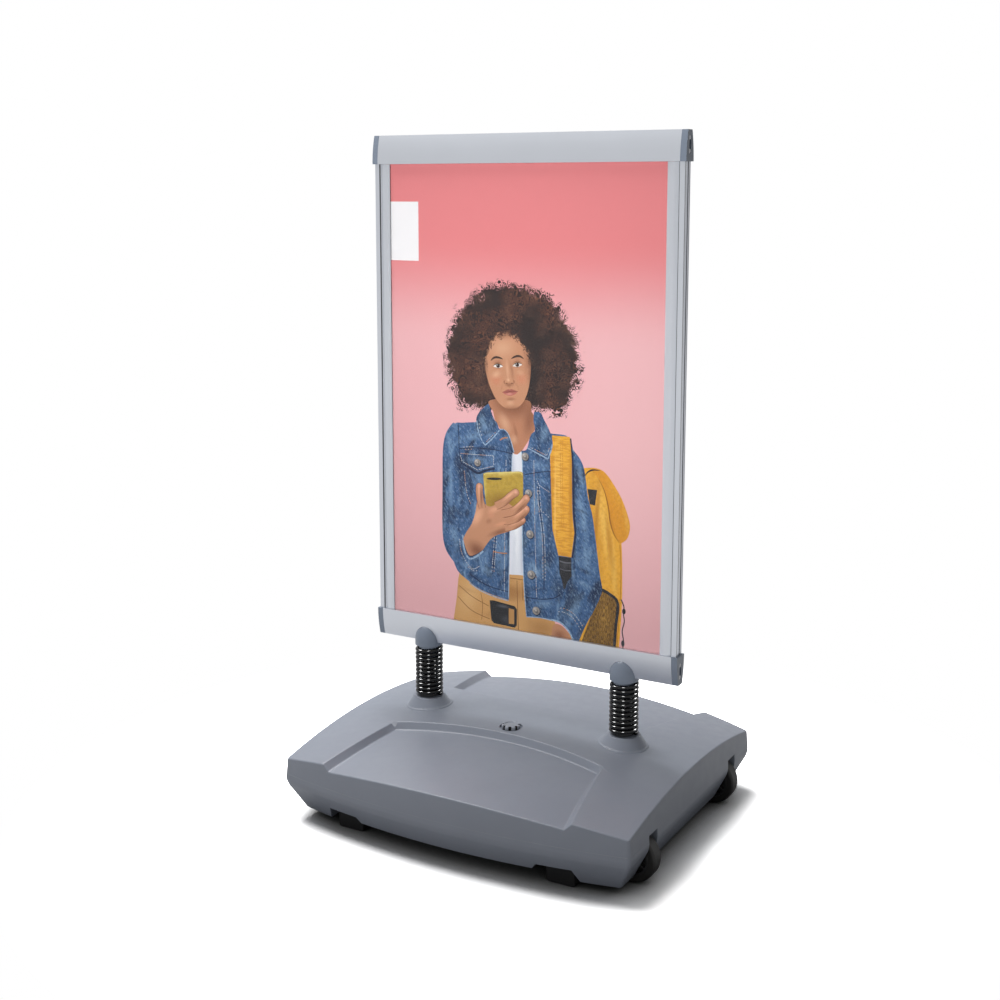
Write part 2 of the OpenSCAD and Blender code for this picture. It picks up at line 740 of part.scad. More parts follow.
// Bent steel leaves between the edge of the sheets and the bead seats. They push the lids shut.
module lid_springs() {
  leaf_t = 0.8;
  leaf_l = 30;
  foot_y = sheet_y - free + seat;
  head_y = cover_y + lid_arch - 1.4;
  leaf_x = poster_w / 2 + 1;
  color(steel)
  for (s = [-1, 1], f = [-1, 1], k = [0.1, 0.37, 0.63, 0.9])
    mirror([s < 0 ? 1 : 0, 0, 0]) mirror([0, f < 0 ? 1 : 0, 0])
      translate([leaf_x, 0, view_z + k * view_h - leaf_l / 2]) linear_extrude(leaf_l) {
        translate([0, foot_y]) square([2.6, leaf_t]);
        translate([1, foot_y]) square([leaf_t, head_y - foot_y]);
        translate([-1.2, head_y - leaf_t]) square([2.2 + leaf_t, leaf_t]);
      }
}

// Die-cast corner pieces: one leg stands in the post's box, the other lies in the rail's mouth.
module corner_connectors() {
  color(steel)
  for (s = [-1, 1], top = [0, 1])
    translate([0, 0, top > 0 ? top_lip_z : view_z]) mirror([0, 0, top > 0 ? 1 : 0])
      mirror([s < 0 ? 1 : 0, 0, 0]) difference() {
        union() {
          translate([box_x + post_wall + seat, -connector_y, -connector_low])
            cube([rail_x - box_x - post_wall - 3 * seat, 2 * connector_y, connector_low + leg_l]);
          translate([foot_x, -connector_y, -connector_low])
            cube([leg_l, 2 * connector_y, connector_low - seat]);
        }
        for (z = leg_screws) translate([box_x, 0, z]) rotate([0, 90, 0])
          cylinder(r = small_r - seat / 2, h = 16, $fn = 24);
        for (x = foot_screws) translate([x, 0, -connector_low - 1])
          cylinder(r = small_r + seat, h = connector_low + 2, $fn = 24);
      }
}

module connector_screws() {
  color(steel)
  for (s = [-1, 1], top = [0, 1])
    translate([0, 0, top > 0 ? top_lip_z : view_z]) mirror([0, 0, top > 0 ? 1 : 0])
      mirror([s < 0 ? 1 : 0, 0, 0]) {
        for (z = leg_screws) translate([box_x - 1.6, 0, z]) rotate([0, 90, 0]) small_screw(14);
        for (x = foot_screws) translate([x, 0, 1.6])
          rotate([180, 0, 0]) small_screw(connector_low + 0.4);
      }
}

// A small pan-head screw: its head's top at the origin, its shank along +Z.
module small_screw(l) {
  difference() {
    union() {
      cylinder(r = 3.4, h = 1.5, $fn = 32);
      translate([0, 0, 1]) cylinder(r = small_r - seat, h = l, $fn = 24);
    }
    translate([0, 0, -1]) cylinder(r = 1.4, h = 1.8, $fn = 6);
  }
}

// One sheet of the display, f is -1 on the front and 1 on the back.
module sheet(f, y, t) {
  translate([-poster_w / 2, f > 0 ? y : -y - t, view_z - end_overlap]) cube([poster_w, t, poster_h]);
}

module backing(f) {
  color("white") sheet(f, sheet_y, backing_t);
}

module poster(f) {
  color("lightcoral") sheet(f, backing_y, poster_t);
}

module cover(f) {
  color([0.9, 0.95, 1, 0.3]) sheet(f, poster_y, cover_t);
}

// Pointed dome on a plug. The rail cuts a saddle through it and leaves an ear on each face.
module spring_holder(s) {
  shoulder = collar_h + 3;
  rise = ear_h - 3;
  r = spring_d / 2;
  c = (pow(rail_half, 2) + pow(rise, 2) - pow(r, 2)) / (2 * (r - rail_half));
  color(cap_grey)
  difference() {
    translate([s * spring_x, 0, spring_top_z]) union() {
      translate([0, 0, -plug_h]) cylinder(r = plug_r, h = plug_h + 1, $fn = 64);
      cylinder(r = r, h = shoulder, $fn = 96);
      translate([0, 0, shoulder]) rotate_extrude($fn = 96) intersection() {
        translate([-c, 0]) circle(r = r + c, $fn = 180);
        square([r, 2 * r]);
      }
    }
    translate([0, 0, sign_z]) along_x(s * spring_x - spring_d, 2 * spring_d) rail_outline(-seat);
    translate([s * spring_x, 0, spring_top_z - plug_h - 1]) {
      cylinder(r = screw_r + seat, h = plug_h + collar_h + 10, $fn = 32);
      cylinder(r = 2 * screw_r, h = holder_head_h + 3, $fn = 48);
    }
  }
}

module holder_screws() {
  head_z = spring_top_z - plug_h + 2;
  shank_z = head_z + holder_head_h - 1;
  color(steel)
  both_x(spring_x) difference() {
    union() {
      translate([0, 0, head_z]) cylinder(r = 6.5, h = holder_head_h, $fn = 48);
      translate([0, 0, shank_z])
        cylinder(r = screw_r, h = sign_z + rail_wall + nut_plate_t - shank_z, $fn = 32);
    }
    translate([0, 0, head_z - 1]) cylinder(r = 3.4, h = 5, $fn = 6);
  }
}

module nut_plates() {
  plate_y = 2 * (rail_edge - rail_wall) - 1;
  color(steel)
  both_x(spring_x) difference() {
    block(40, plate_y, sign_z + rail_wall, nut_plate_t);
    translate([0, 0, sign_z]) cylinder(r = screw_r + 0.05, h = 20, $fn = 32);
  }
}

tank();
runner(-1);  // runner_left
runner(1);  // runner_right
runner_screws();
wheel_axles();
axle_keepers();
wheel_washers();
wheel_hub(-1);  // wheel_hub_front
wheel_tyre(-1);  // wheel_tyre_front
wheel_hub(1);  // wheel_hub_back
wheel_tyre(1);  // wheel_tyre_back
boss_inserts();
filler_cap();
filler_seal();
spring(-1);  // spring_left
spring(1);  // spring_right
spring_plug(-1);  // spring_plug_left
spring_plug(1);  // spring_plug_right
plug_bolts();
spring_holder(-1);  // spring_holder_left
spring_holder(1);  // spring_holder_right
holder_screws();
nut_plates();
bottom_rail();
top_rail();
post(-1);  // post_left
post(1);  // post_right
end_cap(-1, false);  // cap_bottom_left
end_cap(1, false);  // cap_bottom_right
end_cap(-1, true);  // cap_top_left
end_cap(1, true);  // cap_top_right
cap_screws();
corner_connectors();
connector_screws();
backing(-1);  // backing_front
backing(1);  // backing_back
poster(-1);  // poster_front
poster(1);  // poster_back
cover(-1);  // cover_front
cover(1);  // cover_back
lid_springs();
lid(-1, -1);  // lid_front_left
lid(1, -1);  // lid_front_right
lid(-1, 1);  // lid_back_left
lid(1, 1);  // lid_back_right
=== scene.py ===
import math

import bmesh
import bpy
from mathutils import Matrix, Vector
from mathutils.geometry import delaunay_2d_cdt


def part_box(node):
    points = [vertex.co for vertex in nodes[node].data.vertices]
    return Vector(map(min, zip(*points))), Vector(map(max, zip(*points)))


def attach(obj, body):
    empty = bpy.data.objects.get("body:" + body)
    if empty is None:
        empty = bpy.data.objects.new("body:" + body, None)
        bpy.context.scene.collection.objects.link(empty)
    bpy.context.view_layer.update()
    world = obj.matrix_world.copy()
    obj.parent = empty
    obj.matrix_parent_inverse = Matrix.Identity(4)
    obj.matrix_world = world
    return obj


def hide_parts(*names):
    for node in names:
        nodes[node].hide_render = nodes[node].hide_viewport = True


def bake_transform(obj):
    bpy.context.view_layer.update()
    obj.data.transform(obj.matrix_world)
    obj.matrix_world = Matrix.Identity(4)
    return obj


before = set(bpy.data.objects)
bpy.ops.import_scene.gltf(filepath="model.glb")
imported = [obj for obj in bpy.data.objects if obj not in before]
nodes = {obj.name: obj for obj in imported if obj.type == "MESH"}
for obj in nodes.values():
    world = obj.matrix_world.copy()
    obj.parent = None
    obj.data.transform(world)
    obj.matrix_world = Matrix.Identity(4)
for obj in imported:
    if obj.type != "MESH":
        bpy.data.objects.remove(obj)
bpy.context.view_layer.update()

# ---------------------------------------------------------------------------------------------
# Tank. One hollow polyethylene moulding that holds the ballast water. Its crowned top has a
# shallow tray along each long side, two bosses for the springs and a dished filler. Underneath
# are two channels for the runners, and the right-hand end has a slot for each wheel.

TANK_HALF_LENGTH = 0.360
TANK_HALF_DEPTH = 0.286
TANK_BOW = 0.039
TANK_CORNER_Z = 0.118
KNUCKLE_Z = 0.073
KNUCKLE_OUT = 0.003
FOOT_Z = 0.016
FOOT_IN = 0.026
TRAY_DEEP = 0.014
TRAY_RIM_X = 0.229
TRAY_FLARE = 0.032
TRAY_WALL = 0.009
WALL_FLARE = 0.005
SPINE_HALF = 0.080
SPINE_WIDENS = 0.033
RISE_ACROSS = 0.0307
RISE_ALONG = 0.032
RISE_SHARED = 0.0097


def tank_edge(x):
    return TANK_HALF_DEPTH + TANK_BOW * (1 - (x / TANK_HALF_LENGTH) ** 2)


def crown(x, y):
    along = 1 - (x / TANK_HALF_LENGTH) ** 2
    across = 1 - (y / tank_edge(x)) ** 2
    return TANK_CORNER_Z + RISE_ACROSS * across + RISE_ALONG * along - RISE_SHARED * along * across


def mix(a, b, t):
    return a + (b - a) * t


def tank_top_point(c, r):
    """A point of the top. c counts along it and r across it, both from -3 to 3.

    Along, 0 to 1 is the tray's floor, 1 to 2 its wall and 2 to 3 the wing. Across, 0 to 1 is the
    spine, 1 to 2 the tray's wall and 2 to 3 the tray's floor out to the edge.
    """
    across, back = abs(c), abs(r)
    mouth = max(0, back - 2)
    rim = TRAY_RIM_X + TRAY_FLARE * mouth
    floor = rim - TRAY_WALL - WALL_FLARE * mouth
    if across <= 1:
        x = floor * across
    elif across <= 2:
        x = mix(floor, rim, across - 1)
    else:
        x = mix(rim, TANK_HALF_LENGTH, across - 2)
    tray_y = SPINE_HALF + SPINE_WIDENS * min(1.2, (x / TRAY_RIM_X) ** 2)
    if back <= 1:
        y = tray_y * back
    elif back <= 2:
        y = mix(tray_y, tray_y + TRAY_WALL, back - 1)
    else:
        y = mix(tray_y + TRAY_WALL, tank_edge(x), mouth)
    z = crown(x, y) - (TRAY_DEEP if across <= 1 and back >= 2 else 0)
    return Vector((math.copysign(x, c), math.copysign(y, r), z))


def side_out(z):
    """How far the side stands out past the top edge at height z."""
    if z > KNUCKLE_Z:
        return KNUCKLE_OUT * (TANK_CORNER_Z - z) / (TANK_CORNER_Z - KNUCKLE_Z)
    return KNUCKLE_OUT - (FOOT_IN + KNUCKLE_OUT) * (KNUCKLE_Z - z) / (KNUCKLE_Z - FOOT_Z)


def side_point(top, out, z):
    edge = tank_edge(top.x)
    return Vector((top.x * (TANK_HALF_LENGTH + out) / TANK_HALF_LENGTH, top.y * (edge + out) / edge, z))


def make_object(name, mesh):
    obj = bpy.data.objects.new(name, mesh)
    bpy.context.scene.collection.objects.link(obj)
    return obj


def finished_mesh(name, bm):
    mesh = bpy.data.meshes.new(name)
    bm.to_mesh(mesh)
    bm.free()
    return mesh


def tank_mesh():
    half_c = [k / 8 for k in range(9)] + [2, 2.2, 2.4, 2.6, 2.8, 3]
    half_r = [0, 1 / 3, 2 / 3, 1, 2] + [2 + k / 8 for k in range(1, 9)]
    cols = [-c for c in reversed(half_c[1:])] + half_c
    rows = [-r for r in reversed(half_r[1:])] + half_r
    bm = bmesh.new()
    weight = bm.edges.layers.float.new("bevel_weight_edge")
    at = {}
    for c in cols:
        for r in rows:
            at[c, r] = bm.verts.new(tank_top_point(c, r))
    for i in range(len(cols) - 1):
        for j in range(len(rows) - 1):
            bm.faces.new((at[cols[i], rows[j]], at[cols[i + 1], rows[j]],
                          at[cols[i + 1], rows[j + 1]], at[cols[i], rows[j + 1]]))
    rim = [at[c, -3] for c in cols[:-1]] + [at[3, r] for r in rows[:-1]]
    rim += [at[c, 3] for c in reversed(cols[1:])] + [at[-3, r] for r in reversed(rows[1:])]
    rings = [rim]
    for z in (KNUCKLE_Z, FOOT_Z):
        rings.append([bm.verts.new(side_point(v.co, side_out(z), z)) for v in rim])
    count = len(rim)
    for upper, lower in zip(rings, rings[1:]):
        for k in range(count):
            bm.faces.new((upper[k], lower[k], lower[(k + 1) % count], upper[(k + 1) % count]))
    bm.faces.new(list(reversed(rings[-1])))

    def soften(a, b, amount):
        edge = bm.edges.get((a, b))
        if edge:
            edge[weight] = amount

    for k in range(count):
        soften(rim[k], rim[(k + 1) % count], 0.28)
        soften(rings[1][k], rings[1][(k + 1) % count], 1.0)
        soften(rings[2][k], rings[2][(k + 1) % count], 0.3)
    for k in (0, len(cols) - 1, len(cols) + len(rows) - 2, 2 * len(cols) + len(rows) - 3):
        for upper, lower in zip(rings, rings[1:]):
            soften(upper[k], lower[k], 0.6)
    for s in (-1, 1):
        for i in range(len(cols) - 1):
            if abs(cols[i]) <= 1 and abs(cols[i + 1]) <= 1:
                soften(at[cols[i], s], at[cols[i + 1], s], 0.2)
                soften(at[cols[i], 2 * s], at[cols[i + 1], 2 * s], 0.35)
        for j in range(len(rows) - 1):
            if min(rows[j] * s, rows[j + 1] * s) >= 2:
                for t in (-1, 1):
                    soften(at[t, rows[j]], at[t, rows[j + 1]], 0.35)
                    soften(at[2 * t, rows[j]], at[2 * t, rows[j + 1]], 0.2)
        for t in (-1, 1):
            soften(at[t, s], at[2 * t, 2 * s], 0.2)
    bm.normal_update()
    return finished_mesh("tank", bm)


def prism(name, outline, y0, y1):
    """An outline of (x, z) points, pushed along the depth."""
    bm = bmesh.new()
    front = [bm.verts.new((x, y0, z)) for x, z in outline]
    back = [bm.verts.new((x, y1, z)) for x, z in outline]
    bm.faces.new(front)
    bm.faces.new(list(reversed(back)))
    for k in range(len(outline)):
        n = (k + 1) % len(outline)
        bm.faces.new((front[n], front[k], back[k], back[n]))
    bmesh.ops.recalc_face_normals(bm, faces=bm.faces)
    return make_object(name, finished_mesh(name, bm))


def lathe_mesh(name, profile, steps=96, centre=(0, 0, 0), lift=None):
    """Turns (radius, height) points round a vertical axis. lift raises each point by its place in plan."""
    bm = bmesh.new()
    rings = []
    for radius, height in profile:
        ring = []
        for k in range(steps):
            angle = 2 * math.pi * k / steps
            x = centre[0] + radius * math.cos(angle)
            y = centre[1] + radius * math.sin(angle)
            ring.append(bm.verts.new((x, y, centre[2] + height + (lift(radius, x, y) if lift else 0))))
        rings.append(ring)
    for lower, upper in zip(rings, rings[1:]):
        for k in range(steps):
            n = (k + 1) % steps
            bm.faces.new((lower[k], lower[n], upper[n], upper[k]))
    bm.faces.new(list(reversed(rings[0])))
    bm.faces.new(rings[-1])
    bmesh.ops.recalc_face_normals(bm, faces=bm.faces)
    return finished_mesh(name, bm)


def cut(obj, cutters):
    for cutter in cutters:
        step = obj.modifiers.new("cut", "BOOLEAN")
        step.operation, step.solver, step.object = "DIFFERENCE", "EXACT", cutter


def settle(obj):
    """Applies the modifiers and drops the cutters."""
    bpy.context.view_layer.update()
    mesh = bpy.data.meshes.new_from_object(obj.evaluated_get(bpy.context.evaluated_depsgraph_get()))
    used = [m.object for m in obj.modifiers if m.type == "BOOLEAN"]
    obj.modifiers.clear()
    obj.data = mesh
    for cutter in used:
        bpy.data.objects.remove(cutter)


def smooth(obj, angle=32):
    obj.data.shade_smooth()
    obj.data.set_sharp_from_angle(angle=math.radians(angle))
    even = obj.modifiers.new("even", "WEIGHTED_NORMAL")
    even.keep_sharp = True
    even.weight = 80


def set_inputs(tree, shader, values):
    """Sets a shader node's inputs. A value that is another node's output is wired in."""
    for name, value in values.items():
        if isinstance(value, bpy.types.NodeSocket):
            tree.links.new(value, shader.inputs[name])
        else:
            shader.inputs[name].default_value = value


def add_node(tree, kind, values=None, **settings):
    made = tree.nodes.new("ShaderNode" + kind)
    for name, setting in settings.items():
        setattr(made, name, setting)
    set_inputs(tree, made, values or {})
    return made


def new_material(name):
    mat = bpy.data.materials.new(name)
    mat.use_nodes = True
    return mat, mat.node_tree, mat.node_tree.nodes["Principled BSDF"]


def object_place(tree):
    return add_node(tree, "TexCoord").outputs["Object"]


def shade_of(colour, amount):
    return (*[min(1, v * amount) for v in colour], 1)


def plastic(name, colour, rough, grain=1400, relief=0.25, mottle=0.05, gloss=0.5):
    """Moulded plastic: a fine spark-eroded grain, faint flow mottling and a slightly uneven sheen."""
    mat, tree, shader = new_material(name)
    place = object_place(tree)

    def noise(scale, detail):
        return add_node(tree, "TexNoise",
                        {"Scale": scale, "Detail": detail, "Vector": place}).outputs["Fac"]

    def spread(source, low, high):
        levels = {"To Min": low, "To Max": high, "From Min": 0.3, "From Max": 0.7, "Value": source}
        return add_node(tree, "MapRange", levels).outputs["Result"]

    tones = {"A": shade_of(colour, 1 - mottle), "B": shade_of(colour, 1 + mottle)}
    tones["Factor"] = spread(noise(14, 5), 0, 1)
    tint = add_node(tree, "Mix", tones, data_type="RGBA")
    bump = add_node(tree, "Bump", {"Strength": relief, "Distance": 0.0003, "Height": noise(grain, 2)})
    set_inputs(tree, shader, {"Base Color": tint.outputs["Result"],
                              "Roughness": spread(noise(45, 4), rough - 0.05, rough + 0.05),
                              "Specular IOR Level": gloss,
                              "Normal": bump.outputs["Normal"]})
    return mat


def dress(obj, mat):
    obj.data.materials.clear()
    obj.data.materials.append(mat)


tank_plastic = plastic("tank_plastic", (0.240, 0.262, 0.312), 0.40, grain=900, relief=0.3, mottle=0.02)

SPRING_X = 0.2165
BOSS_TOP = crown(SPRING_X, 0) + 0.020
FILLER_Y = -0.048
FILLER_TOP = crown(0, FILLER_Y)
WHEEL_Y = 0.190
SLOT_HALF = 0.018

tank = make_object("tank_shell", tank_mesh())
edges = tank.modifiers.new("edges", "BEVEL")
edges.limit_method = "WEIGHT"
edges.width = 0.009
edges.segments = 4
underside = [(-0.2645, 0.010), (-0.2645, 0.016), (-0.2545, 0.043), (-0.189, 0.043), (-0.180, 0.031)]
outline = underside + [(-x, z) for x, z in reversed(underside)]
cutters = [prism("cut_under", outline, -0.4, 0.4)]
for side in (-1, 1):
    y = side * WHEEL_Y
    slot = [(0.277, 0.010), (0.277, 0.094), (0.279, 0.096), (0.45, 0.096), (0.45, 0.010)]
    cutters.append(prism("cut_wheel", slot, y - SLOT_HALF, y + SLOT_HALF))
for depth, radius in ((0.03, 0.014), (0.004, 0.0225)):
    bore = [(radius, FILLER_TOP - depth), (radius, FILLER_TOP + 0.02)]
    cutters.append(make_object("cut_filler", lathe_mesh("cut_filler", bore, 96, (0, FILLER_Y, 0))))
cut(tank, cutters)
settle(tank)
smooth(tank)
dress(tank, tank_plastic)
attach(tank, "base")
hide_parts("tank")

# The spring bosses: cones that grow out of the crown, each with a flat seat and a rolled foot.
for side, name in ((-1, "left"), (1, "right")):
    def hug(radius, x, y):
        """At the foot the cone follows the crown; at the seat it is level."""
        t = min(1, max(0, (radius - 0.030) / 0.015))
        return t * (crown(x, y) - crown(side * SPRING_X, 0))
    foot = crown(SPRING_X, 0)
    roll = [(0.0490, -0.0016), (0.0474, 0.0006), (0.0468, 0.0015), (0.0460, 0.0021), (0.0450, 0.0023),
            (0.0440, 0.0025), (0.0432, 0.0033), (0.0414, 0.0056), (0.0390, 0.0087), (0.0364, 0.0122),
            (0.0342, 0.0153), (0.0328, 0.0175), (0.0320, 0.0188), (0.0314, 0.0196)]
    seat = [(0.0306, -0.0001), (0.0290, 0), (0.011, 0), (0.0105, -0.0005), (0.0101, -0.002),
            (0.0101, -0.02)]
    profile = [(r, foot + z) for r, z in roll] + [(r, BOSS_TOP + z) for r, z in seat]
    turned = lathe_mesh("tank_boss", profile, 128, (side * SPRING_X, 0, 0), hug)
    boss = make_object("tank_boss_" + name, turned)
    smooth(boss, 60)
    dress(boss, tank_plastic)
    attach(boss, "base")

# The parting line: the fine raised bead that the two halves of the mould leave round the sides.
PARTING_Z = 0.0885
bead = bpy.data.curves.new("tank_parting_line", "CURVE")
bead.dimensions = "3D"
bead.bevel_depth = 0.00045
bead.bevel_resolution = 2
bead.use_fill_caps = True
corner = 0.004
end_x, end_y = TANK_HALF_LENGTH - corner, TANK_HALF_DEPTH - corner
slot_low, slot_high = WHEEL_Y - SLOT_HALF - 0.0005, WHEEL_Y + SLOT_HALF + 0.0005
long_side = [(x, -tank_edge(x)) for x in (mix(end_x, -end_x, k / 60) for k in range(61))]
left_end = [(-TANK_HALF_LENGTH, mix(-end_y, end_y, k / 60)) for k in range(61)]
long_run = [(TANK_HALF_LENGTH, -slot_high), (TANK_HALF_LENGTH, -end_y)] + long_side + left_end
long_run += [(x, -y) for x, y in reversed(long_side)]
long_run += [(TANK_HALF_LENGTH, end_y), (TANK_HALF_LENGTH, slot_high)]
short_run = [(TANK_HALF_LENGTH, mix(-slot_low, slot_low, k / 40)) for k in range(41)]
out = side_out(PARTING_Z) - 0.0001
for run in (long_run, short_run):
    line = bead.splines.new("POLY")
    line.points.add(len(run) - 1)
    for point, (x, y) in zip(line.points, run):
        edge = tank_edge(x)
        point.co = (x * (1 + out / TANK_HALF_LENGTH), y * (edge + out) / edge, PARTING_Z, 1)
parting = make_object("tank_parting_line", bead)
parting.data.materials.append(plastic("tank_bead_plastic", (0.28, 0.305, 0.345), 0.4))
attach(parting, "base")

# ---------------------------------------------------------------------------------------------
# Runners, inserts and screws. Two black rubber bars are screwed up into the channels under the
# tank, and the sign stands on them. Brass inserts in the bosses take the spring bolts.


def rounded(name, width, segments=2, angle=30):
    """Rounds the edges of a CAD piece as a mould or a deburring leaves them."""
    obj = nodes[name]
    weld = obj.modifiers.new("weld", "WELD")
    weld.merge_threshold = 0.00002
    edge = obj.modifiers.new("edge", "BEVEL")
    edge.width = width
    edge.segments = segments
    edge.limit_method = "ANGLE"
    edge.angle_limit = math.radians(angle)
    edge.harden_normals = False
    smooth(obj, 35)
    return obj


runner_rubber = plastic("runner_rubber", (0.012, 0.012, 0.013), 0.62, 500, 0.5, mottle=0.2, gloss=0.35)
for name in ("runner_left", "runner_right"):
    dress(rounded(name, 0.0015), runner_rubber)


def plated(name, colour, rough, scale=260):
    """Zinc plate or cast metal: a faint mottled tone and an uneven, lightly scratched polish."""
    mat, tree, shader = new_material(name)
    place = object_place(tree)
    patch = add_node(tree, "TexVoronoi", {"Scale": scale, "Vector": place})
    tones = {"A": shade_of(colour, 0.85), "B": shade_of(colour, 1), "Factor": patch.outputs["Distance"]}
    tint = add_node(tree, "Mix", tones, data_type="RGBA")
    wear = add_node(tree, "TexNoise", {"Scale": 600, "Vector": place})
    levels = {"To Min": rough - 0.08, "To Max": rough + 0.08, "Value": wear.outputs["Fac"]}
    sheen = add_node(tree, "MapRange", levels)
    set_inputs(tree, shader, {"Metallic": 1, "Base Color": tint.outputs["Result"],
                              "Roughness": sheen.outputs["Result"]})
    return mat


screw_steel = plated("screw_steel", (0.62, 0.62, 0.64), 0.35)
dress(nodes["boss_inserts"], plated("brass", (0.72, 0.52, 0.22), 0.3))
for name in ("runner_screws", "holder_screws", "nut_plates", "connector_screws", "cap_screws",
             "plug_bolts"):
    dress(nodes[name], screw_steel)
dress(nodes["corner_connectors"], plated("die_cast", (0.5, 0.51, 0.53), 0.5, 120))

# ---------------------------------------------------------------------------------------------
# Wheels. Each is a ribbed black hub with a solid rubber tyre, on a steel pin pressed into the
# tank. They clear the ground until the sign is tipped back on them.

wheel_hub_plastic = plastic("wheel_hub_plastic", (0.02, 0.02, 0.021), 0.4, grain=1200)
tyre_rubber = plastic("tyre_rubber", (0.014, 0.0135, 0.013), 0.5, 700, 0.35, mottle=0.25, gloss=0.45)
for end in ("front", "back"):
    dress(rounded("wheel_hub_" + end, 0.0006), wheel_hub_plastic)
    tyre = nodes["wheel_tyre_" + end]
    dress(tyre, tyre_rubber)
    smooth(tyre, 30)
for name in ("wheel_axles", "wheel_washers"):
    dress(rounded(name, 0.0004), screw_steel)
dress(rounded("axle_keepers", 0.0004), tank_plastic)

# ---------------------------------------------------------------------------------------------
# Filler cap. A moulded screw cap in a shallow dish, with finger hollows round its rim, a raised ring on
# its face and a black rubber seal under it. The walls deep in the hollows take the seal's black as painted
# shade.

cap_plastic = plastic("cap_plastic", (0.185, 0.218, 0.275), 0.34, grain=1500, relief=0.2)
CAP_R = 0.0185
CAP_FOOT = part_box("filler_cap")[1].z - 0.007
HOLLOWS = 8
HOLLOW_DEEP = 0.22
HOLLOW_HALF = 0.46


def hollow(angle):
    """How far a point of the rim lies into one of the finger hollows, from 0 to 1."""
    reach = abs((HOLLOWS * angle / (2 * math.pi)) % 1 - 0.5) / 0.5
    return math.sqrt(max(0, 1 - (reach / HOLLOW_HALF) ** 2))


# Each level of the cap: its radius, its height and how much of a hollow it has.
stem = [(0.0138, -0.0155, 0), (0.0138, 0.0, 0), (0.0165, 0.0, 0)]
rim = [(0.0180, 0.0003, 1), (CAP_R - 0.0001, 0.0009, 1), (CAP_R, 0.0018, 1), (CAP_R - 0.0002, 0.0052, 1),
       (0.0178, 0.0063, 1), (0.0168, 0.0069, 0.9), (0.0155, 0.0070, 0.6)]
face = [(0.0132, 0.0070, 0), (0.0127, 0.0068, 0), (0.0123, 0.0059, 0), (0.0118, 0.0056, 0),
        (0.0060, 0.0057, 0), (0.0052, 0.0058, 0), (0.0020, 0.0060, 0)]
rim_start, rim_end = len(stem) - 1, len(stem) + len(rim) - 3
turns = 192
cap_mesh = bmesh.new()
rings = []
for radius, height, amount in stem + rim + face:
    ring = []
    for k in range(turns):
        angle = 2 * math.pi * k / turns
        r = radius * (1 - HOLLOW_DEEP * hollow(angle) * amount)
        ring.append(cap_mesh.verts.new((r * math.cos(angle), FILLER_Y + r * math.sin(angle),
                                        CAP_FOOT + height)))
    rings.append(ring)
for level, (lower, upper) in enumerate(zip(rings, rings[1:])):
    for k in range(turns):
        n = (k + 1) % turns
        side = cap_mesh.faces.new((lower[k], lower[n], upper[n], upper[k]))
        # Painted shade: the walls deep in each finger hollow take the black seal material, standing in for
        # the shade that falls there.
        painted_hollow_shade = rim_start <= level <= rim_end and hollow(2 * math.pi * (k + 0.5) / turns) > 0.55
        side.material_index = 1 if painted_hollow_shade else 0
cap_mesh.faces.new(list(reversed(rings[0])))
cap_mesh.faces.new(rings[-1])
cap = make_object("filler_cap_knob", finished_mesh("filler_cap_knob", cap_mesh))
smooth(cap, 40)
seal = plastic("seal_rubber", (0.008, 0.008, 0.008), 0.5, grain=800)
for coat in (plastic("knob_plastic", (0.31, 0.335, 0.385), 0.36, grain=1500, relief=0.2), seal):
    cap.data.materials.append(coat)
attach(cap, "filler_cap")
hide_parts("filler_cap")
dress(rounded("filler_seal", 0.0006), seal)

# ---------------------------------------------------------------------------------------------
# Springs. Cold-wound steel coils with closed ends, powder-coated gloss black. Each winds on to a plug on
# the boss and on to the holder above.

COIL_R = 0.0243
WIRE_R = 0.0037
WIRE_SIDES = 12
TURNS = 11.5
STEPS_PER_TURN = 40
END_TURNS = 0.8
SPRING_TALL = 0.106
SEAT_GAP = 0.0001
SPRING_LOW = BOSS_TOP + SEAT_GAP + WIRE_R
SPRING_HIGH = BOSS_TOP + SPRING_TALL - SEAT_GAP - WIRE_R


def coil_height(turn):
    """The first and last turn lie almost closed and the rest are spaced evenly."""
    closed = 2 * WIRE_R + 0.0003
    body = (SPRING_HIGH - SPRING_LOW - 2 * closed * END_TURNS) / (TURNS - 2 * END_TURNS)

    def climb(t):
        if t <= END_TURNS:
            return closed * t
        if t >= TURNS - END_TURNS:
            return (SPRING_HIGH - SPRING_LOW) - closed * (TURNS - t)
        return closed * END_TURNS + body * (t - END_TURNS)

    return sum(climb(min(TURNS, max(0, turn + d))) for d in (-0.12, 0, 0.12)) / 3


gloss_black = plastic("spring_paint", (0.002, 0.002, 0.0025), 0.10, 300, 0.05, mottle=0.1, gloss=0.42)
for side, name in ((-1, "left"), (1, "right")):
    bm = bmesh.new()
    rings = []
    count = int(TURNS * STEPS_PER_TURN)
    for i in range(count + 1):
        turn = TURNS * i / count
        angle = 2 * math.pi * turn
        height = SPRING_LOW + coil_height(turn) - (coil_height(0) if turn < 0.3 else 0)
        ring = []
        for k in range(WIRE_SIDES):
            around = 2 * math.pi * k / WIRE_SIDES
            r = COIL_R + WIRE_R * math.cos(around)
            ring.append(bm.verts.new((side * SPRING_X + r * math.cos(angle), r * math.sin(angle),
                                      height + WIRE_R * math.sin(around))))
        rings.append(ring)
    for a, b in zip(rings, rings[1:]):
        for k in range(WIRE_SIDES):
            n = (k + 1) % WIRE_SIDES
            bm.faces.new((a[k], b[k], b[n], a[n]))
    bm.faces.new(rings[0])
    bm.faces.new(list(reversed(rings[-1])))
    bmesh.ops.recalc_face_normals(bm, faces=bm.faces)
    coil = make_object("spring_coil_" + name, finished_mesh("spring_coil_" + name, bm))
    coil.data.shade_smooth()
    dress(coil, gloss_black)
    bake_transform(coil)
    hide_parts("spring_" + name)
    dress(rounded("spring_plug_" + name, 0.0008), wheel_hub_plastic)

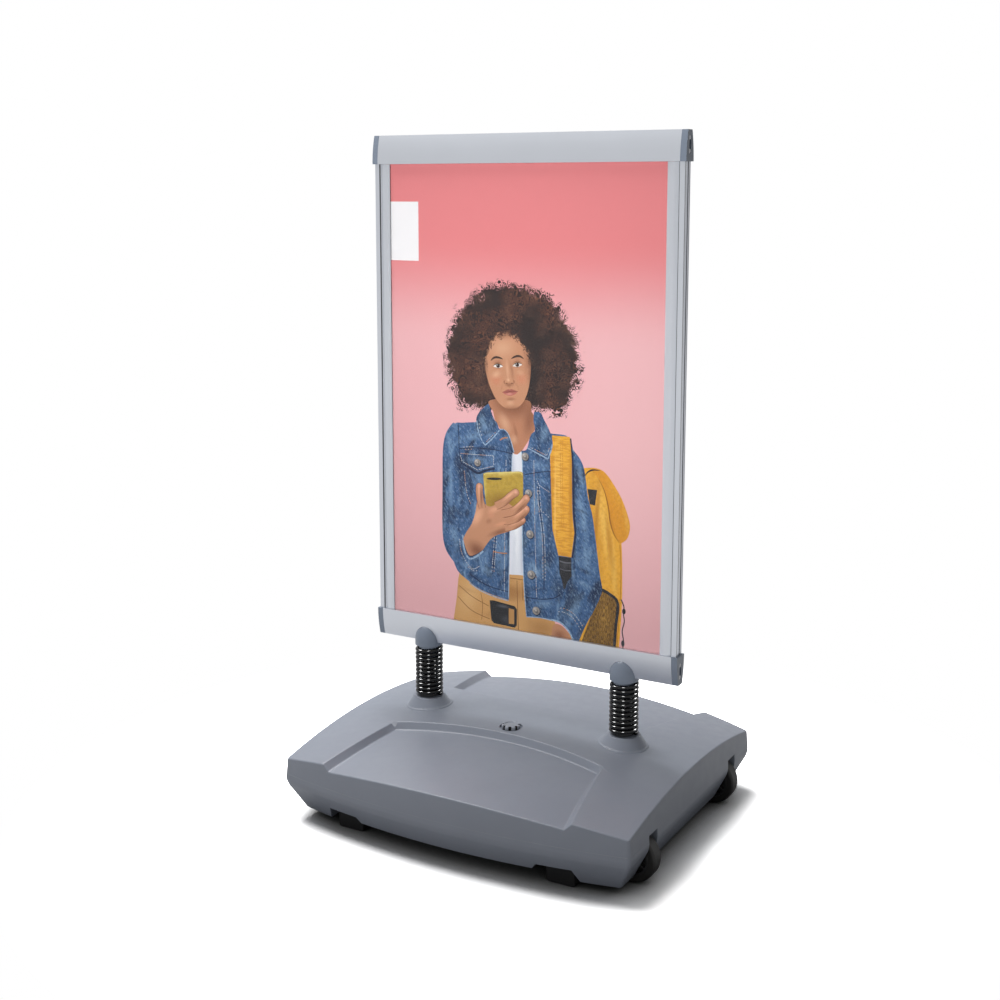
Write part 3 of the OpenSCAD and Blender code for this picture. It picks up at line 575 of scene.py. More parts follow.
# ---------------------------------------------------------------------------------------------
# Spring holders. Moulded domes that fill the top of each spring. The bottom rail sits in a
# saddle through them, and a pointed ear is left against each of its faces.

for name in ("spring_holder_left", "spring_holder_right"):
    dress(nodes[name], cap_plastic)
    smooth(nodes[name], 30)

# ---------------------------------------------------------------------------------------------
# Frame. Extruded aluminium rails and posts, satin silver anodised, with the fine straight lines
# that the die leaves along their length. Moulded caps close the ends of the rails.


def anodised(name, along):
    """Satin silver anodising over extrusion lines that run along one axis."""
    colour, rough = (0.74, 0.77, 0.83), 0.34
    mat, tree, shader = new_material(name)
    place = object_place(tree)
    scale = [900, 900, 900]
    scale["xyz".index(along)] = 3
    stretch = add_node(tree, "Mapping", {"Scale": scale, "Vector": place})
    lines = add_node(tree, "TexNoise", {"Scale": 1, "Detail": 2, "Vector": stretch.outputs["Vector"]})
    cloud = add_node(tree, "TexNoise", {"Scale": 9, "Vector": place})
    tones = {"A": shade_of(colour, 0.96), "B": shade_of(colour, 1.03), "Factor": cloud.outputs["Fac"]}
    tint = add_node(tree, "Mix", tones, data_type="RGBA")
    levels = {"To Min": rough - 0.06, "To Max": rough + 0.06, "Value": lines.outputs["Fac"]}
    sheen = add_node(tree, "MapRange", levels)
    bump = add_node(tree, "Bump", {"Strength": 0.12, "Distance": 0.0001, "Height": lines.outputs["Fac"]})
    set_inputs(tree, shader, {"Metallic": 0.85, "Base Color": tint.outputs["Result"],
                              "Roughness": sheen.outputs["Result"], "Normal": bump.outputs["Normal"]})
    return mat


rail_metal = anodised("rail_aluminium", "x")
lid_metal = anodised("lid_aluminium", "z")
post_metal = anodised("post_aluminium", "z")

# Painted shade: the grooves in the posts' sides and the slots behind the lids are darkened in the colour,
# where little light gets in.
tree = post_metal.node_tree
split = add_node(tree, "SeparateXYZ", {"Vector": object_place(tree)})


def figure(tree, kind, *values):
    """A maths node on outputs and plain numbers."""
    return add_node(tree, "Math", dict(enumerate(values)), operation=kind).outputs[0]


from_centre = figure(tree, "ABSOLUTE", split.outputs["X"])
from_middle = figure(tree, "ABSOLUTE", split.outputs["Y"])
POST_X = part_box("post_right")[1].x
outer_groove = figure(tree, "COMPARE", from_middle, 0.0096, 0.0013)
inner_groove = figure(tree, "COMPARE", from_middle, 0.0044, 0.0004)
behind_lids = figure(tree, "LESS_THAN", from_middle, 0.0125)
in_from_end = figure(tree, "LESS_THAN", from_centre, POST_X - 0.0012)
grooves = figure(tree, "MAXIMUM", outer_groove, inner_groove)
slots = figure(tree, "MULTIPLY", behind_lids, in_from_end)
# The painted shade is laid over the grooves and the slots at 85 percent.
shadow = figure(tree, "MULTIPLY", figure(tree, "MAXIMUM", grooves, slots), 0.85)
base_colour = tree.nodes["Principled BSDF"].inputs["Base Color"]
tones = {"A": base_colour.links[0].from_socket, "B": (0.05, 0.05, 0.056, 1), "Factor": shadow}
dark = add_node(tree, "Mix", tones, data_type="RGBA")
tree.links.new(dark.outputs["Result"], base_colour)
lids = ("lid_front_left", "lid_front_right", "lid_back_left", "lid_back_right")
for names, metal in ((("bottom_rail", "top_rail"), rail_metal), (("post_left", "post_right"), post_metal),
                     (lids, lid_metal)):
    for name in names:
        dress(nodes[name], metal)
        smooth(nodes[name], 30)
dress(nodes["lid_springs"], plated("leaf_steel", (0.6, 0.61, 0.63), 0.25))
for name in ("cap_bottom_left", "cap_bottom_right", "cap_top_left", "cap_top_right"):
    dress(rounded(name, 0.0012, 3), cap_plastic)

# ---------------------------------------------------------------------------------------------
# Printed posters, one on each face. Each is one sheet of thick paper, trimmed a little larger
# than the opening and held behind the cover. The print is flat: every shape below is an area of
# ink on the one sheet, worked in millimetres from the middle of the sheet and the bottom lip.

SHEET_HALF = 305
SHEET_LOW, SHEET_HIGH = -10, 904
LIP_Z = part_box("post_left")[0][2]
PRINT_Y = 0.00874
SHEET_BACK_Y = 0.00842

areas = []


def ink_colour(red, green, blue):
    """A printed colour from 0 to 255, as light."""
    def light(v):
        v = v / 255
        return v / 12.92 if v <= 0.04045 else ((v + 0.055) / 1.055) ** 2.4
    return (light(red), light(green), light(blue), 1)


class Ink:
    """A printed colour that is built up from washes, mottle and fine texture, all fixed on the sheet."""

    def __init__(self, name, colour, rough=0.5):
        self.mat, self.tree, self.shader = new_material("ink_" + name)
        self.place = object_place(self.tree)
        self.top = ink_colour(*colour)
        set_inputs(self.tree, self.shader, {"Roughness": rough, "Specular IOR Level": 0.25,
                                            "Base Color": self.top})

    def node(self, kind, values, **settings):
        return add_node(self.tree, kind, values, **settings)

    def maths(self, kind, *values):
        return figure(self.tree, kind, *values)

    def lay(self, factor, colour):
        """Lays a colour over what is there, by a factor from 0 to 1."""
        tones = {"A": self.top, "B": ink_colour(*colour), "Factor": factor}
        self.top = self.node("Mix", tones, data_type="RGBA").outputs["Result"]
        set_inputs(self.tree, self.shader, {"Base Color": self.top})

    def ramp(self, source, low, high, strength=1.0):
        levels = {"From Min": low, "From Max": high, "To Max": strength, "Value": source}
        return self.node("MapRange", levels, interpolation_type="SMOOTHSTEP").outputs["Result"]

    def frame(self, x, height, wide, tall, turn=0):
        """The sheet's coordinates seen from a spot, in units of the spot's half width and height."""
        spot = {"Location": (x / 1000, -PRINT_Y, LIP_Z + height / 1000), "Vector": self.place,
                "Rotation": (0, math.radians(-turn), 0), "Scale": (wide / 1000, 1, tall / 1000)}
        return self.node("Mapping", spot, vector_type="TEXTURE").outputs["Vector"]

    def reach(self, *spot):
        """How far a place lies from a spot, in the spot's own units."""
        return self.node("VectorMath", {0: self.frame(*spot)}, operation="LENGTH").outputs["Value"]

    def rise(self, *spot):
        """How high a place lies over a spot, in the spot's own units."""
        return self.node("SeparateXYZ", {0: self.frame(*spot)}).outputs["Z"]

    def wash(self, colour, x, height, wide, tall, strength=1.0, turn=0, core=0.0):
        """A soft round wash of colour. core is how much of it is at full strength."""
        spot = {"Vector": self.frame(x, height, wide, tall, turn)}
        ball = self.node("TexGradient", spot, gradient_type="SPHERICAL")
        self.lay(self.ramp(ball.outputs["Fac"], 0, 1 - core, strength), colour)

    def fade(self, colour, low, high):
        """A wash that comes in from the height low to the height high."""
        up = self.node("SeparateXYZ", {0: self.place}).outputs["Z"]
        self.lay(self.ramp(up, LIP_Z + low / 1000, LIP_Z + high / 1000), colour)

    def noise(self, scale, detail=4, bend=0.0, wide=1.0, tall=1.0, turn=0, x=0, height=0):
        grain = {"Scale": scale, "Detail": detail, "Distortion": bend,
                 "Vector": self.frame(x, height, 1000 * wide, 1000 * tall, turn)}
        return self.node("TexNoise", grain).outputs["Fac"]

    def mottle(self, colour, scale, low=0.45, high=0.65, strength=1.0, **shape):
        self.lay(self.ramp(self.noise(scale, **shape), low, high, strength), colour)

    def curls(self, size):
        """Rings round scattered points: the strands of tight curls of this size."""
        warp = self.node("TexNoise", {"Scale": 400 / size, "Vector": self.place})
        bent = {0: warp.outputs["Color"], 1: (size / 1500, 0, size / 1500), 2: self.place}
        shift = self.node("VectorMath", bent, operation="MULTIPLY_ADD")
        spots = {"Scale": 1000 / size, "Smoothness": 0.25, "Vector": shift.outputs[0]}
        cells = self.node("TexVoronoi", spots, feature="SMOOTH_F1")
        wave = self.maths("SINE", self.maths("MULTIPLY", cells.outputs["Distance"], 21.0))
        return self.maths("MULTIPLY_ADD", wave, 0.5, 0.5)


def smooth_path(points, closed=True, steps=5):
    """A curve through the points. A point with a third value is a sharp corner."""
    count = len(points)
    out = []
    for k in range(count if closed else count - 1):
        a, b = points[k], points[(k + 1) % count]
        before = points[k - 1] if closed or k else a
        after = points[(k + 2) % count] if closed or k + 2 < count else b
        ta = (0, 0) if len(a) > 2 else ((b[0] - before[0]) / 2, (b[1] - before[1]) / 2)
        tb = (0, 0) if len(b) > 2 else ((after[0] - a[0]) / 2, (after[1] - a[1]) / 2)
        straight = len(a) > 2 and len(b) > 2
        for i in range(1 if straight else steps):
            t = i / steps
            h1, h2 = 2 * t ** 3 - 3 * t ** 2 + 1, t ** 3 - 2 * t ** 2 + t
            h3, h4 = 3 * t ** 2 - 2 * t ** 3, t ** 3 - t ** 2
            out.append(tuple(h1 * a[n] + h2 * ta[n] + h3 * b[n] + h4 * tb[n] for n in (0, 1)))
    if not closed:
        out.append(tuple(points[-1][:2]))
    return out


def area(ink, points, steps=5):
    areas.append((smooth_path(points, True, steps), ink))


def oval(ink, x, height, wide, tall, turn=0, steps=20):
    """An oval of this half width and half height."""
    c, s = math.cos(math.radians(turn)), math.sin(math.radians(turn))
    around = [2 * math.pi * k / steps for k in range(steps)]
    ring = [(math.cos(a) * wide, math.sin(a) * tall) for a in around]
    areas.append(([(x + u * c - v * s, height + u * s + v * c) for u, v in ring], ink))


def beside(path, offsets):
    """The points that lie to the left of a path's points, each by its own offset."""
    out = []
    for k, (x, y) in enumerate(path):
        nx, ny = path[min(k + 1, len(path) - 1)]
        px, py = path[max(k - 1, 0)]
        size = math.hypot(nx - px, ny - py) or 1
        out.append((x - (ny - py) / size * offsets[k], y + (nx - px) / size * offsets[k]))
    return out


def stroke(ink, points, width, taper=False):
    """A line of ink along a curve. It can thin out towards its ends."""
    path = smooth_path(points, False)
    last = len(path) - 1
    halves = [width / 2] * len(path)
    if taper:
        halves = [half * (0.15 + 0.85 * math.sin(math.pi * k / last)) for k, half in enumerate(halves)]
    left, right = beside(path, halves), beside(path, [-half for half in halves])
    areas.append((left + right[::-1], ink))


def stitches(ink, points, pitch=4.4, length=3.1, width=1.05):
    """A row of stitches along a curve."""
    path = smooth_path(points, False)
    run, start = 0.0, pitch / 2
    for (ax, ay), (bx, by) in zip(path, path[1:]):
        size = math.hypot(bx - ax, by - ay)
        ux, uy = (bx - ax) / size, (by - ay) / size
        while start + length < run + size:
            t = max(start - run, 0)
            x, y = ax + ux * t, ay + uy * t
            ex, ey = x + ux * length, y + uy * length
            wx, wy = -uy * width / 2, ux * width / 2
            near, beyond = [(x + wx, y + wy), (ex + wx, ey + wy)], [(ex - wx, ey - wy), (x - wx, y - wy)]
            areas.append((near + beyond, ink))
            start += pitch
        run += size
        start = max(start, run)


def seam(points, rows=(-2.4, 2.4), dark=1.7):
    """A sewn seam in the denim: a shadow line with a row of thread on each side."""
    if dark:
        stroke(denim_dark, points, dark)
    path = smooth_path(points, False, 3)
    for off in rows:
        stitches(thread, beside(path, [off] * len(path)))


# The backdrop behind the figure: coral at the top, pale pink lower down.
BACKDROP_PINK, BACKDROP_CORAL = (236, 180, 184), (228, 131, 134)
backdrop = Ink("backdrop", BACKDROP_PINK)
backdrop.fade(BACKDROP_CORAL, 540, 760)
backdrop.wash((241, 192, 194), 230, 330, 190, 420, 0.5)
sheet_corners = [(-SHEET_HALF, SHEET_LOW), (SHEET_HALF, SHEET_LOW), (SHEET_HALF, SHEET_HIGH),
                 (-SHEET_HALF, SHEET_HIGH)]
area(backdrop, [(*corner, 0) for corner in sheet_corners])

# A plain white tab at the left edge, with nothing printed on it.
tab = Ink("tab", (246, 244, 246))
area(tab, [(-SHEET_HALF, 708, 0), (-228.5, 708, 0), (-228.5, 822, 0), (-SHEET_HALF, 822, 0)])

# The backpack: yellow cloth, a rounded flap, a mesh pocket with a dark binding, and a cord.
YELLOW, YELLOW_DARK, YELLOW_LIGHT = (234, 172, 56), (186, 122, 28), (247, 200, 96)
pack_cloth = Ink("pack_cloth", YELLOW, 0.6)
pack_cloth.wash(YELLOW_DARK, 140, 150, 42, 190, 0.75)
pack_cloth.wash(YELLOW_LIGHT, 176, 230, 16, 110, 0.7, 8)
pack_cloth.wash(YELLOW_LIGHT, 196, 150, 9, 90, 0.6, 4)
pack_cloth.wash(YELLOW_DARK, 187, 195, 9, 90, 0.7, 8)
pack_cloth.wash((160, 100, 24), 160, 240, 7, 120, 0.6, -4)
pack_cloth.wash((168, 108, 26), 128, 250, 8, 90, 0.7, 6)
pack_cloth.mottle(YELLOW_DARK, 14, 0.5, 0.75, 0.45, wide=0.5, tall=2.0)
pack_cloth.mottle((196, 132, 36), 160, 0.42, 0.66, 0.4, detail=2)
flap_cloth = Ink("flap_cloth", (222, 152, 40), 0.6)
flap_cloth.wash(YELLOW, 205, 300, 28, 60, 0.9, 25)
flap_cloth.wash((176, 108, 22), 184, 225, 16, 70, 0.9, 10)
flap_cloth.wash(YELLOW_LIGHT, 222, 240, 9, 50, 0.35, 10)
flap_cloth.mottle(YELLOW_DARK, 18, 0.5, 0.75, 0.3)
flap_cloth.mottle((198, 128, 32), 170, 0.42, 0.66, 0.45, detail=2)
black_cloth = Ink("black_cloth", (32, 32, 36), 0.55)
black_cloth.mottle((78, 78, 84), 60, 0.5, 0.7, 0.5)
mesh_cloth = Ink("mesh_cloth", (146, 108, 46), 0.7)
mesh_cloth.wash((184, 138, 60), 178, 50, 18, 60, 0.8)
mesh_cloth.lay(mesh_cloth.ramp(mesh_cloth.noise(210, 0, 0, 0.25, 1.6), 0.42, 0.58, 0.85), (84, 58, 26))
area(pack_cloth,
     [(118, 330), (132, 333), (158, 335), (178, 327), (196, 300), (206, 240), (212, 190), (214, 120),
      (213, 60), (208, SHEET_LOW, 0), (100, SHEET_LOW, 0), (120, 150)])
stroke(Ink("pack_rim", YELLOW_DARK, 0.6),
       [(208, 196), (211, 150), (210, 90), (206, 20), (205, SHEET_LOW)], 1.6)
area(flap_cloth,
     [(146, 331), (160, 334), (176, 327), (194, 308), (212, 280), (225, 248), (228, 228), (222, 208),
      (208, 197, 0), (196, 214), (188, 236), (184, 262), (176, 290), (162, 318)])
stroke(Ink("flap_edge", (150, 92, 20), 0.6),
       [(163, 316), (176, 292), (184, 262), (188, 236), (196, 214), (207, 199)], 2.6, True)
stroke(black_cloth, [(134, 316), (141, 326), (152, 331), (166, 331)], 3.2, True)
area(black_cloth, [(140.5, 294, 0), (160.5, 294, 0), (156.5, 264, 0), (145.5, 265.5, 0)])
area(mesh_cloth,
     [(170, 106, 0), (186, 100), (205, 84, 0), (200, 40), (198, SHEET_LOW, 0), (128, SHEET_LOW, 0)])
stroke(black_cloth, [(170, 106), (188, 99), (205, 84), (202, 40), (199, -9)], 6)
stroke(black_cloth, [(212, 92), (218, 78), (217, 66), (219, 50), (215, 32), (218, 12), (216, -4)], 2.2)
oval(black_cloth, 218, 70, 3.6, 5.6)
oval(black_cloth, 216.5, 8, 3.4, 6)

# Hair: a round mass of tight dark curls. Its rim is ragged, and the backdrop shows through.
HAIR_X, HAIR_Y, HAIR_R = -23, 525, 143
HAIR, HAIR_WARM = (33, 20, 18), (112, 66, 48)
hair = Ink("hair", BACKDROP_PINK, 0.6)
hair.fade(BACKDROP_CORAL, 540, 760)
curl = hair.curls(9)
under = hair.maths("SUBTRACT", 1.0, hair.rise(HAIR_X, 431, HAIR_R, HAIR_R))
edge_of_hair = hair.maths("MAXIMUM", hair.reach(HAIR_X, HAIR_Y, HAIR_R, HAIR_R), under)
ragged = hair.maths("MULTIPLY_ADD", hair.noise(42, 5, 1.6), 0.34, -0.17)
rim = hair.maths("ADD", edge_of_hair, ragged)
rim = hair.maths("MULTIPLY_ADD", curl, 0.09, rim)
mask = hair.ramp(rim, 1.075, 1.02)
hair.lay(mask, HAIR)
strand = hair.maths("MULTIPLY", hair.ramp(curl, 0.45, 0.95), mask)
hair.lay(hair.maths("MULTIPLY", strand, hair.ramp(hair.noise(13, 3), 0.36, 0.66, 0.9)), HAIR_WARM)
fine = hair.maths("MULTIPLY", hair.ramp(hair.curls(5), 0.6, 1.0), mask)
patches = hair.ramp(hair.noise(21, 2, x=30, height=10), 0.45, 0.7, 0.55)
hair.lay(hair.maths("MULTIPLY", fine, patches), (140, 96, 76))
oval(hair, HAIR_X, HAIR_Y, HAIR_R + 19, HAIR_R + 19, 0, 48)

# Neck and chest, shaded by the head above.
SKIN, SKIN_DARK, SKIN_LIGHT = (196, 140, 106), (128, 78, 54), (224, 176, 142)
neck = Ink("neck", (184, 126, 94), 0.5)
neck.wash(SKIN_DARK, -20, 448, 62, 46, 0.9, -6, 0.2)
neck.wash(SKIN_LIGHT, -36, 404, 16, 30, 0.6, 30)
neck.wash(SKIN_DARK, 18, 415, 20, 50, 0.7, -10)
neck.wash(SKIN_DARK, -12, 388, 5, 26, 0.45, 14)
neck.wash(SKIN_LIGHT, -16, 374, 14, 14, 0.5)
area(neck, [(-68, 446), (-62, 424), (-56, 405), (-40, 384), (-22, 352), (-12, 346), (0, 352), (20, 382),
            (34, 410), (22, 430), (12, 452)])

# T-shirt: white cotton between the jacket's fronts.
cotton = Ink("cotton", (226, 229, 237), 0.6)
cotton.wash((176, 184, 202), -19, 300, 10, 80, 0.7)
cotton.wash((186, 193, 210), 2, 160, 7, 90, 0.8)
cotton.wash((250, 250, 252), -10, 200, 8, 90, 0.7)
cotton.mottle((190, 197, 212), 30, 0.5, 0.7, 0.35, wide=0.6, tall=2.5)
area(cotton, [(-25, 353), (-17, 347), (-9, 345), (2, 352), (10, 330, 0), (12, 90, 0), (-34, 90, 0),
              (-34, 330, 0)])

# Trousers: tan cotton, with a fly seam and a webbing belt closed by a black buckle.
TAN, TAN_DARK, TAN_LIGHT = (208, 158, 98), (158, 108, 58), (228, 184, 128)
tan_cloth = Ink("tan_cloth", TAN, 0.6)
tan_cloth.wash(TAN_DARK, -20, 74, 60, 26, 0.7)
tan_cloth.wash(TAN_LIGHT, -118, 52, 34, 60, 0.6, -18)
tan_cloth.wash(TAN_DARK, 46, 10, 50, 30, 0.6)
tan_cloth.mottle(TAN_DARK, 22, 0.5, 0.72, 0.4, bend=0.6, wide=1.6, tall=0.8, turn=-20)
area(tan_cloth, [(-134, 108), (-90, 112), (-30, 108), (20, 106), (60, 60), (76, 20), (80, SHEET_LOW, 0),
                 (-154, SHEET_LOW, 0), (-146, 40)])
tan_line = Ink("tan_line", (132, 88, 46), 0.6)
stroke(tan_line, [(-139, 70), (-110, 52), (-72, 38)], 1.3)
stroke(tan_line, [(-143, 48), (-112, 24), (-70, 12)], 1.3)
stroke(tan_line, [(-9, 98), (-8, 60), (-6, 10), (-5, -9)], 1.5)
stroke(tan_line, [(2, 98), (4, 60)], 1.1)
stroke(tan_line, [(-24, 101), (10, 101)], 1.4)
stroke(tan_line, [(-90, 62), (-86, 40), (-88, 8)], 1.2)
buckle = Ink("buckle", (26, 26, 30), 0.35)
buckle.wash((86, 88, 96), -40, 42, 20, 5, 0.8)
buckle.wash((60, 62, 68), -34, 16, 16, 12, 0.7)
area(buckle, [(-70, 50, 0), (-60, 51, 0), (-14, 46, 0), (-9, 41, 0), (-9, 8, 0), (-14, 3, 0), (-60, 5, 0),
              (-66, 10, 0)])
area(Ink("buckle_gap", (188, 140, 84), 0.6), [(-27, 40, 0), (-15, 39, 0), (-15, 10, 0), (-27, 9, 0)])

# Denim jacket: washed blue twill, paler on the raised folds, with sewn seams and steel buttons.
DENIM, DENIM_LIGHT, DENIM_DARK = (60, 94, 138), (128, 162, 196), (22, 38, 68)


def denim(name, lights, darks, base=DENIM):
    ink = Ink(name, base, 0.65)
    ink.mottle(DENIM_LIGHT, 30, 0.5, 0.7, 0.55, detail=6, bend=0.8, wide=0.7, tall=1.4)
    ink.mottle(DENIM_DARK, 20, 0.5, 0.68, 0.85, detail=6, bend=1.0, wide=0.8, tall=1.7, x=40, height=70)
    for spots, colour in ((lights, DENIM_LIGHT), (darks, DENIM_DARK)):
        for x, height, wide, tall, turn, strength in spots:
            ink.wash(colour, x, height, wide, tall, strength, turn)
    ink.mottle((150, 180, 210), 190, 0.5, 0.72, 0.5, detail=3, wide=0.6, tall=1.3, turn=35)
    ink.mottle(DENIM_DARK, 150, 0.5, 0.7, 0.6, detail=3, wide=0.6, tall=1.3, turn=35, x=90, height=20)
    return ink


denim_dark = Ink("denim_dark", (22, 36, 64), 0.65)
thread = Ink("thread", (206, 208, 206), 0.6)
thread.mottle((196, 150, 108), 60, 0.5, 0.6)
pale_edge = Ink("pale_edge", (158, 184, 208), 0.65)
pale_edge.mottle(DENIM, 240, 0.45, 0.7, 0.8)

front_left = denim("denim_front_left",
                   [(-108, 372, 30, 12, 8, 0.6), (-92, 290, 26, 30, 10, 0.4), (-40, 260, 10, 60, 0, 0.5),
                    (-48, 150, 16, 60, 4, 0.4), (-80, 110, 26, 14, -28, 0.5)],
                   [(-124, 250, 14, 80, 4, 0.8), (-74, 352, 40, 10, 12, 0.7), (-28, 190, 6, 150, 0, 0.6),
                    (-72, 196, 30, 34, 30, 0.6), (-96, 88, 40, 9, -24, 0.6)])
area(front_left,
     [(-60, 408), (-99, 401), (-130, 397), (-150, 391), (-165, 340), (-160, 200), (-150, 112), (-117, 82),
      (-92, 69), (-60, 61), (-27, 56.5, 0), (-24.5, 204, 0), (-19.5, 339), (-17, 350, 0), (-30, 372),
      (-47, 390)], 4)
front_right = denim("denim_front_right",
                    [(34, 330, 20, 12, 8, 0.5), (28, 250, 10, 70, 2, 0.5), (44, 190, 14, 60, -4, 0.5),
                     (30, 120, 22, 20, 20, 0.5), (92, 250, 10, 60, 0, 0.4), (50, 60, 30, 12, 10, 0.5)],
                    [(62, 250, 12, 150, 0, 0.7), (40, 352, 34, 10, -30, 0.8), (5, 200, 6, 160, 0, 0.6),
                     (60, 150, 22, 34, -24, 0.7), (24, 156, 20, 10, 28, 0.5), (84, 90, 22, 40, 20, 0.8),
                     (36, 88, 30, 7, 6, 0.5)])
area(front_right,
     [(22, 388), (44, 396), (66, 392), (100, 388), (112, 350), (116, 249), (112, 130), (96, 92), (84, 55),
      (66, 30, 0), (43, 31), (12, 28, 0), (5.5, 99, 0), (2, 204), (2, 319), (0, 354, 0), (12, 358)], 4)

# Yoke, placket, panel and hem seams.
seam([(-142, 345), (-100, 350), (-58, 350), (-20, 346)])
seam([(8, 308), (36, 315), (63, 320)])
seam([(-130, 316), (-129, 290), (-124, 262), (-114, 236)])
seam([(-46, 314), (-48, 270), (-54, 214), (-58, 160), (-63, 104)])
seam([(36, 300), (40, 250), (48, 190), (50, 130), (50, 88)])
seam([(96, 330), (98, 250)], (0,), 0)
seam([(-116, 98), (-90, 84), (-60, 76), (-27, 73)])
seam([(6, 68), (40, 68), (70, 74), (86, 84)])
seam([(-114, 83), (-90, 72), (-60, 64), (-28, 60)], (0,), 0)
seam([(14, 32), (43, 35), (66, 34)], (0,), 0)
for points in ([(-33, 335), (-36, 200), (-37, 70)], [(27, 340), (30, 200), (34, 70)]):
    stitches(thread, points)
stroke(pale_edge, [(-20, 345), (-21, 320), (-25, 204), (-27.5, 60)], 1.6)
stroke(pale_edge, [(0.5, 352), (2.5, 319), (2.5, 204), (6, 99), (12, 31)], 1.8)
stroke(pale_edge, [(-116, 79), (-92, 67), (-60, 59), (-28, 55)], 1.8)
stroke(pale_edge, [(12, 29), (43, 31.5), (66, 30)], 1.8)

# Chest pockets, each a pointed flap over a stitched patch.
flap_denim = denim("denim_flap", [(-100, 326, 34, 9, 4, 0.5)], [(-97, 306, 34, 4, 0, 0.4)])
stroke(denim_dark, [(-137, 321), (-118, 311), (-97, 301), (-78, 308), (-58, 314)], 5)
area(flap_denim, [(-139.5, 339, 0), (-58, 341, 0), (-58.5, 316, 0), (-97, 304, 0), (-135, 319, 0)])
stitches(thread,
         [(-137, 336, 0), (-61, 338, 0), (-61, 318, 0), (-97, 307, 0), (-132, 321, 0), (-136.5, 336, 0)])
stitches(thread, [(-127, 305), (-122, 262), (-112, 238)])
stitches(thread, [(-68, 309), (-66, 304)])
flap_right = denim("denim_flap_right", [(46, 300, 12, 6, -30, 0.6)], [(56, 286, 14, 6, -30, 0.6)])
area(flap_right, [(32, 303, 0), (62, 306, 0), (62, 276, 0), (36, 289, 0)])
stitches(thread, [(34, 301, 0), (38, 291, 0), (61, 279, 0)])
stitches(thread, [(37, 286), (38, 250), (61, 230)])
stroke(Ink("buttonhole", (182, 122, 74), 0.6), [(-62, 149), (-46, 148), (-31, 149)], 2.2)

# Sleeves.
sleeve_left = denim("denim_sleeve_left",
                    [(-160, 352, 9, 40, 8, 0.6), (-158, 268, 9, 70, 0, 0.6), (-150, 170, 14, 30, 20, 0.6),
                     (-122, 112, 26, 9, -22, 0.5)],
                    [(-176, 260, 8, 150, 0, 0.7), (-134, 280, 9, 90, 4, 0.8),
                     (-140, 218, 22, 10, -34, 0.7), (-160, 196, 18, 7, -20, 0.6),
                     (-134, 138, 8, 26, 16, 0.8), (-168, 142, 10, 24, 30, 0.6)])
area(sleeve_left,
     [(-147, 394), (-161, 385), (-171, 366), (-176, 335), (-177, 269), (-178, 200), (-176, 160),
      (-168, 136), (-152, 117), (-138, 105), (-116, 97), (-99, 99), (-87, 112), (-76, 134), (-84, 147, 0),
      (-100, 136), (-116, 129), (-127, 146), (-131, 172, 0), (-124, 190), (-112, 216), (-118, 245),
      (-127, 275), (-132, 310), (-139, 345)], 4)
seam([(-140, 392), (-139, 370), (-138, 340), (-133, 312)])
stitches(thread, [(-138, 168), (-136, 146), (-126, 124), (-108, 108), (-90, 118)])
stroke(pale_edge, [(-131, 174), (-128, 146), (-117, 128), (-100, 134), (-84, 147)], 3.4)
stroke(denim_dark, [(-128, 170), (-124, 147), (-115, 133), (-100, 139), (-87, 149)], 2.6)
stitches(thread, [(-122, 112), (-104, 104), (-92, 112)])
sleeve_right = denim("denim_sleeve_right",
                     [(126, 318, 9, 40, 12, 0.5), (132, 240, 10, 70, 10, 0.6), (140, 160, 12, 60, 8, 0.5),
                      (136, 110, 24, 9, -24, 0.6), (118, 60, 14, 40, -20, 0.5),
                      (100, 28, 16, 8, -24, 0.5)],
                     [(112, 280, 7, 120, 2, 0.9), (113, 170, 8, 60, 0, 0.8), (128, 250, 18, 5, -14, 0.7),
                      (136, 136, 26, 6, -20, 0.7), (160, 100, 12, 40, -24, 0.6),
                      (112, 96, 16, 14, 10, 0.6), (130, 20, 10, 40, -26, 0.5)])
area(sleeve_right,
     [(100, 388), (110, 366), (124, 350), (134, 328), (141, 282), (152, 240), (161, 180), (168, 132),
      (173, 106), (168, 88), (158, 66), (140, 32), (126, 0), (122, SHEET_LOW, 0), (116, SHEET_LOW, 0),
      (108, 8), (98, 20), (84, 28), (66, 31, 0), (74, 44), (84, 62), (93, 89), (102, 108), (108, 124),
      (114, 165), (115, 205), (114, 250), (110, 300), (106, 350)], 4)
stitches(thread, [(76, 48), (92, 50), (112, 42), (130, 20)])
stitches(thread, [(80, 56), (95, 57), (115, 49), (134, 28)])
knuckles = Ink("knuckles", (190, 134, 100), 0.5)
knuckles.wash((140, 88, 62), 84, 4, 20, 14, 0.8)
area(knuckles, [(70, 20), (84, 24), (98, 16), (108, 3), (113, SHEET_LOW, 0), (66, SHEET_LOW, 0)])
stroke(pale_edge, [(65, 31), (84, 29), (98, 20), (108, 8), (116, -9)], 3.4)

# Shoulder strap: padded yellow webbing, tapered into a black ladder buckle.
strap = Ink("strap", YELLOW, 0.6)
strap.wash(YELLOW_LIGHT, 80, 300, 12, 120, 0.6)
strap.wash(YELLOW_DARK, 106, 280, 7, 160, 0.8)
strap.wash(YELLOW_DARK, 66, 260, 4, 160, 0.6)
strap.wash(YELLOW_DARK, 92, 162, 18, 10, 0.6)
strap.mottle((206, 138, 38), 150, 0.42, 0.62, 0.75, detail=1, wide=3.0, tall=0.5)
strap.wash((250, 206, 110), 73, 250, 3, 170, 0.6)
stroke(denim_dark, [(104, 386), (110, 330), (112, 249), (116, 205), (110, 158)], 4)
area(strap, [(66, 389, 0), (103, 389, 0), (107, 350), (108, 319), (109.5, 249), (114, 206.5, 0),
             (108, 159, 0), (80.5, 159, 0), (68, 206.5, 0), (65.5, 249), (63, 319), (62, 350)])
strap_line = Ink("strap_line", (200, 128, 34), 0.6)
stitches(strap_line, [(68, 208, 0), (113, 208, 0)], 3.4, 2.6, 1.0)
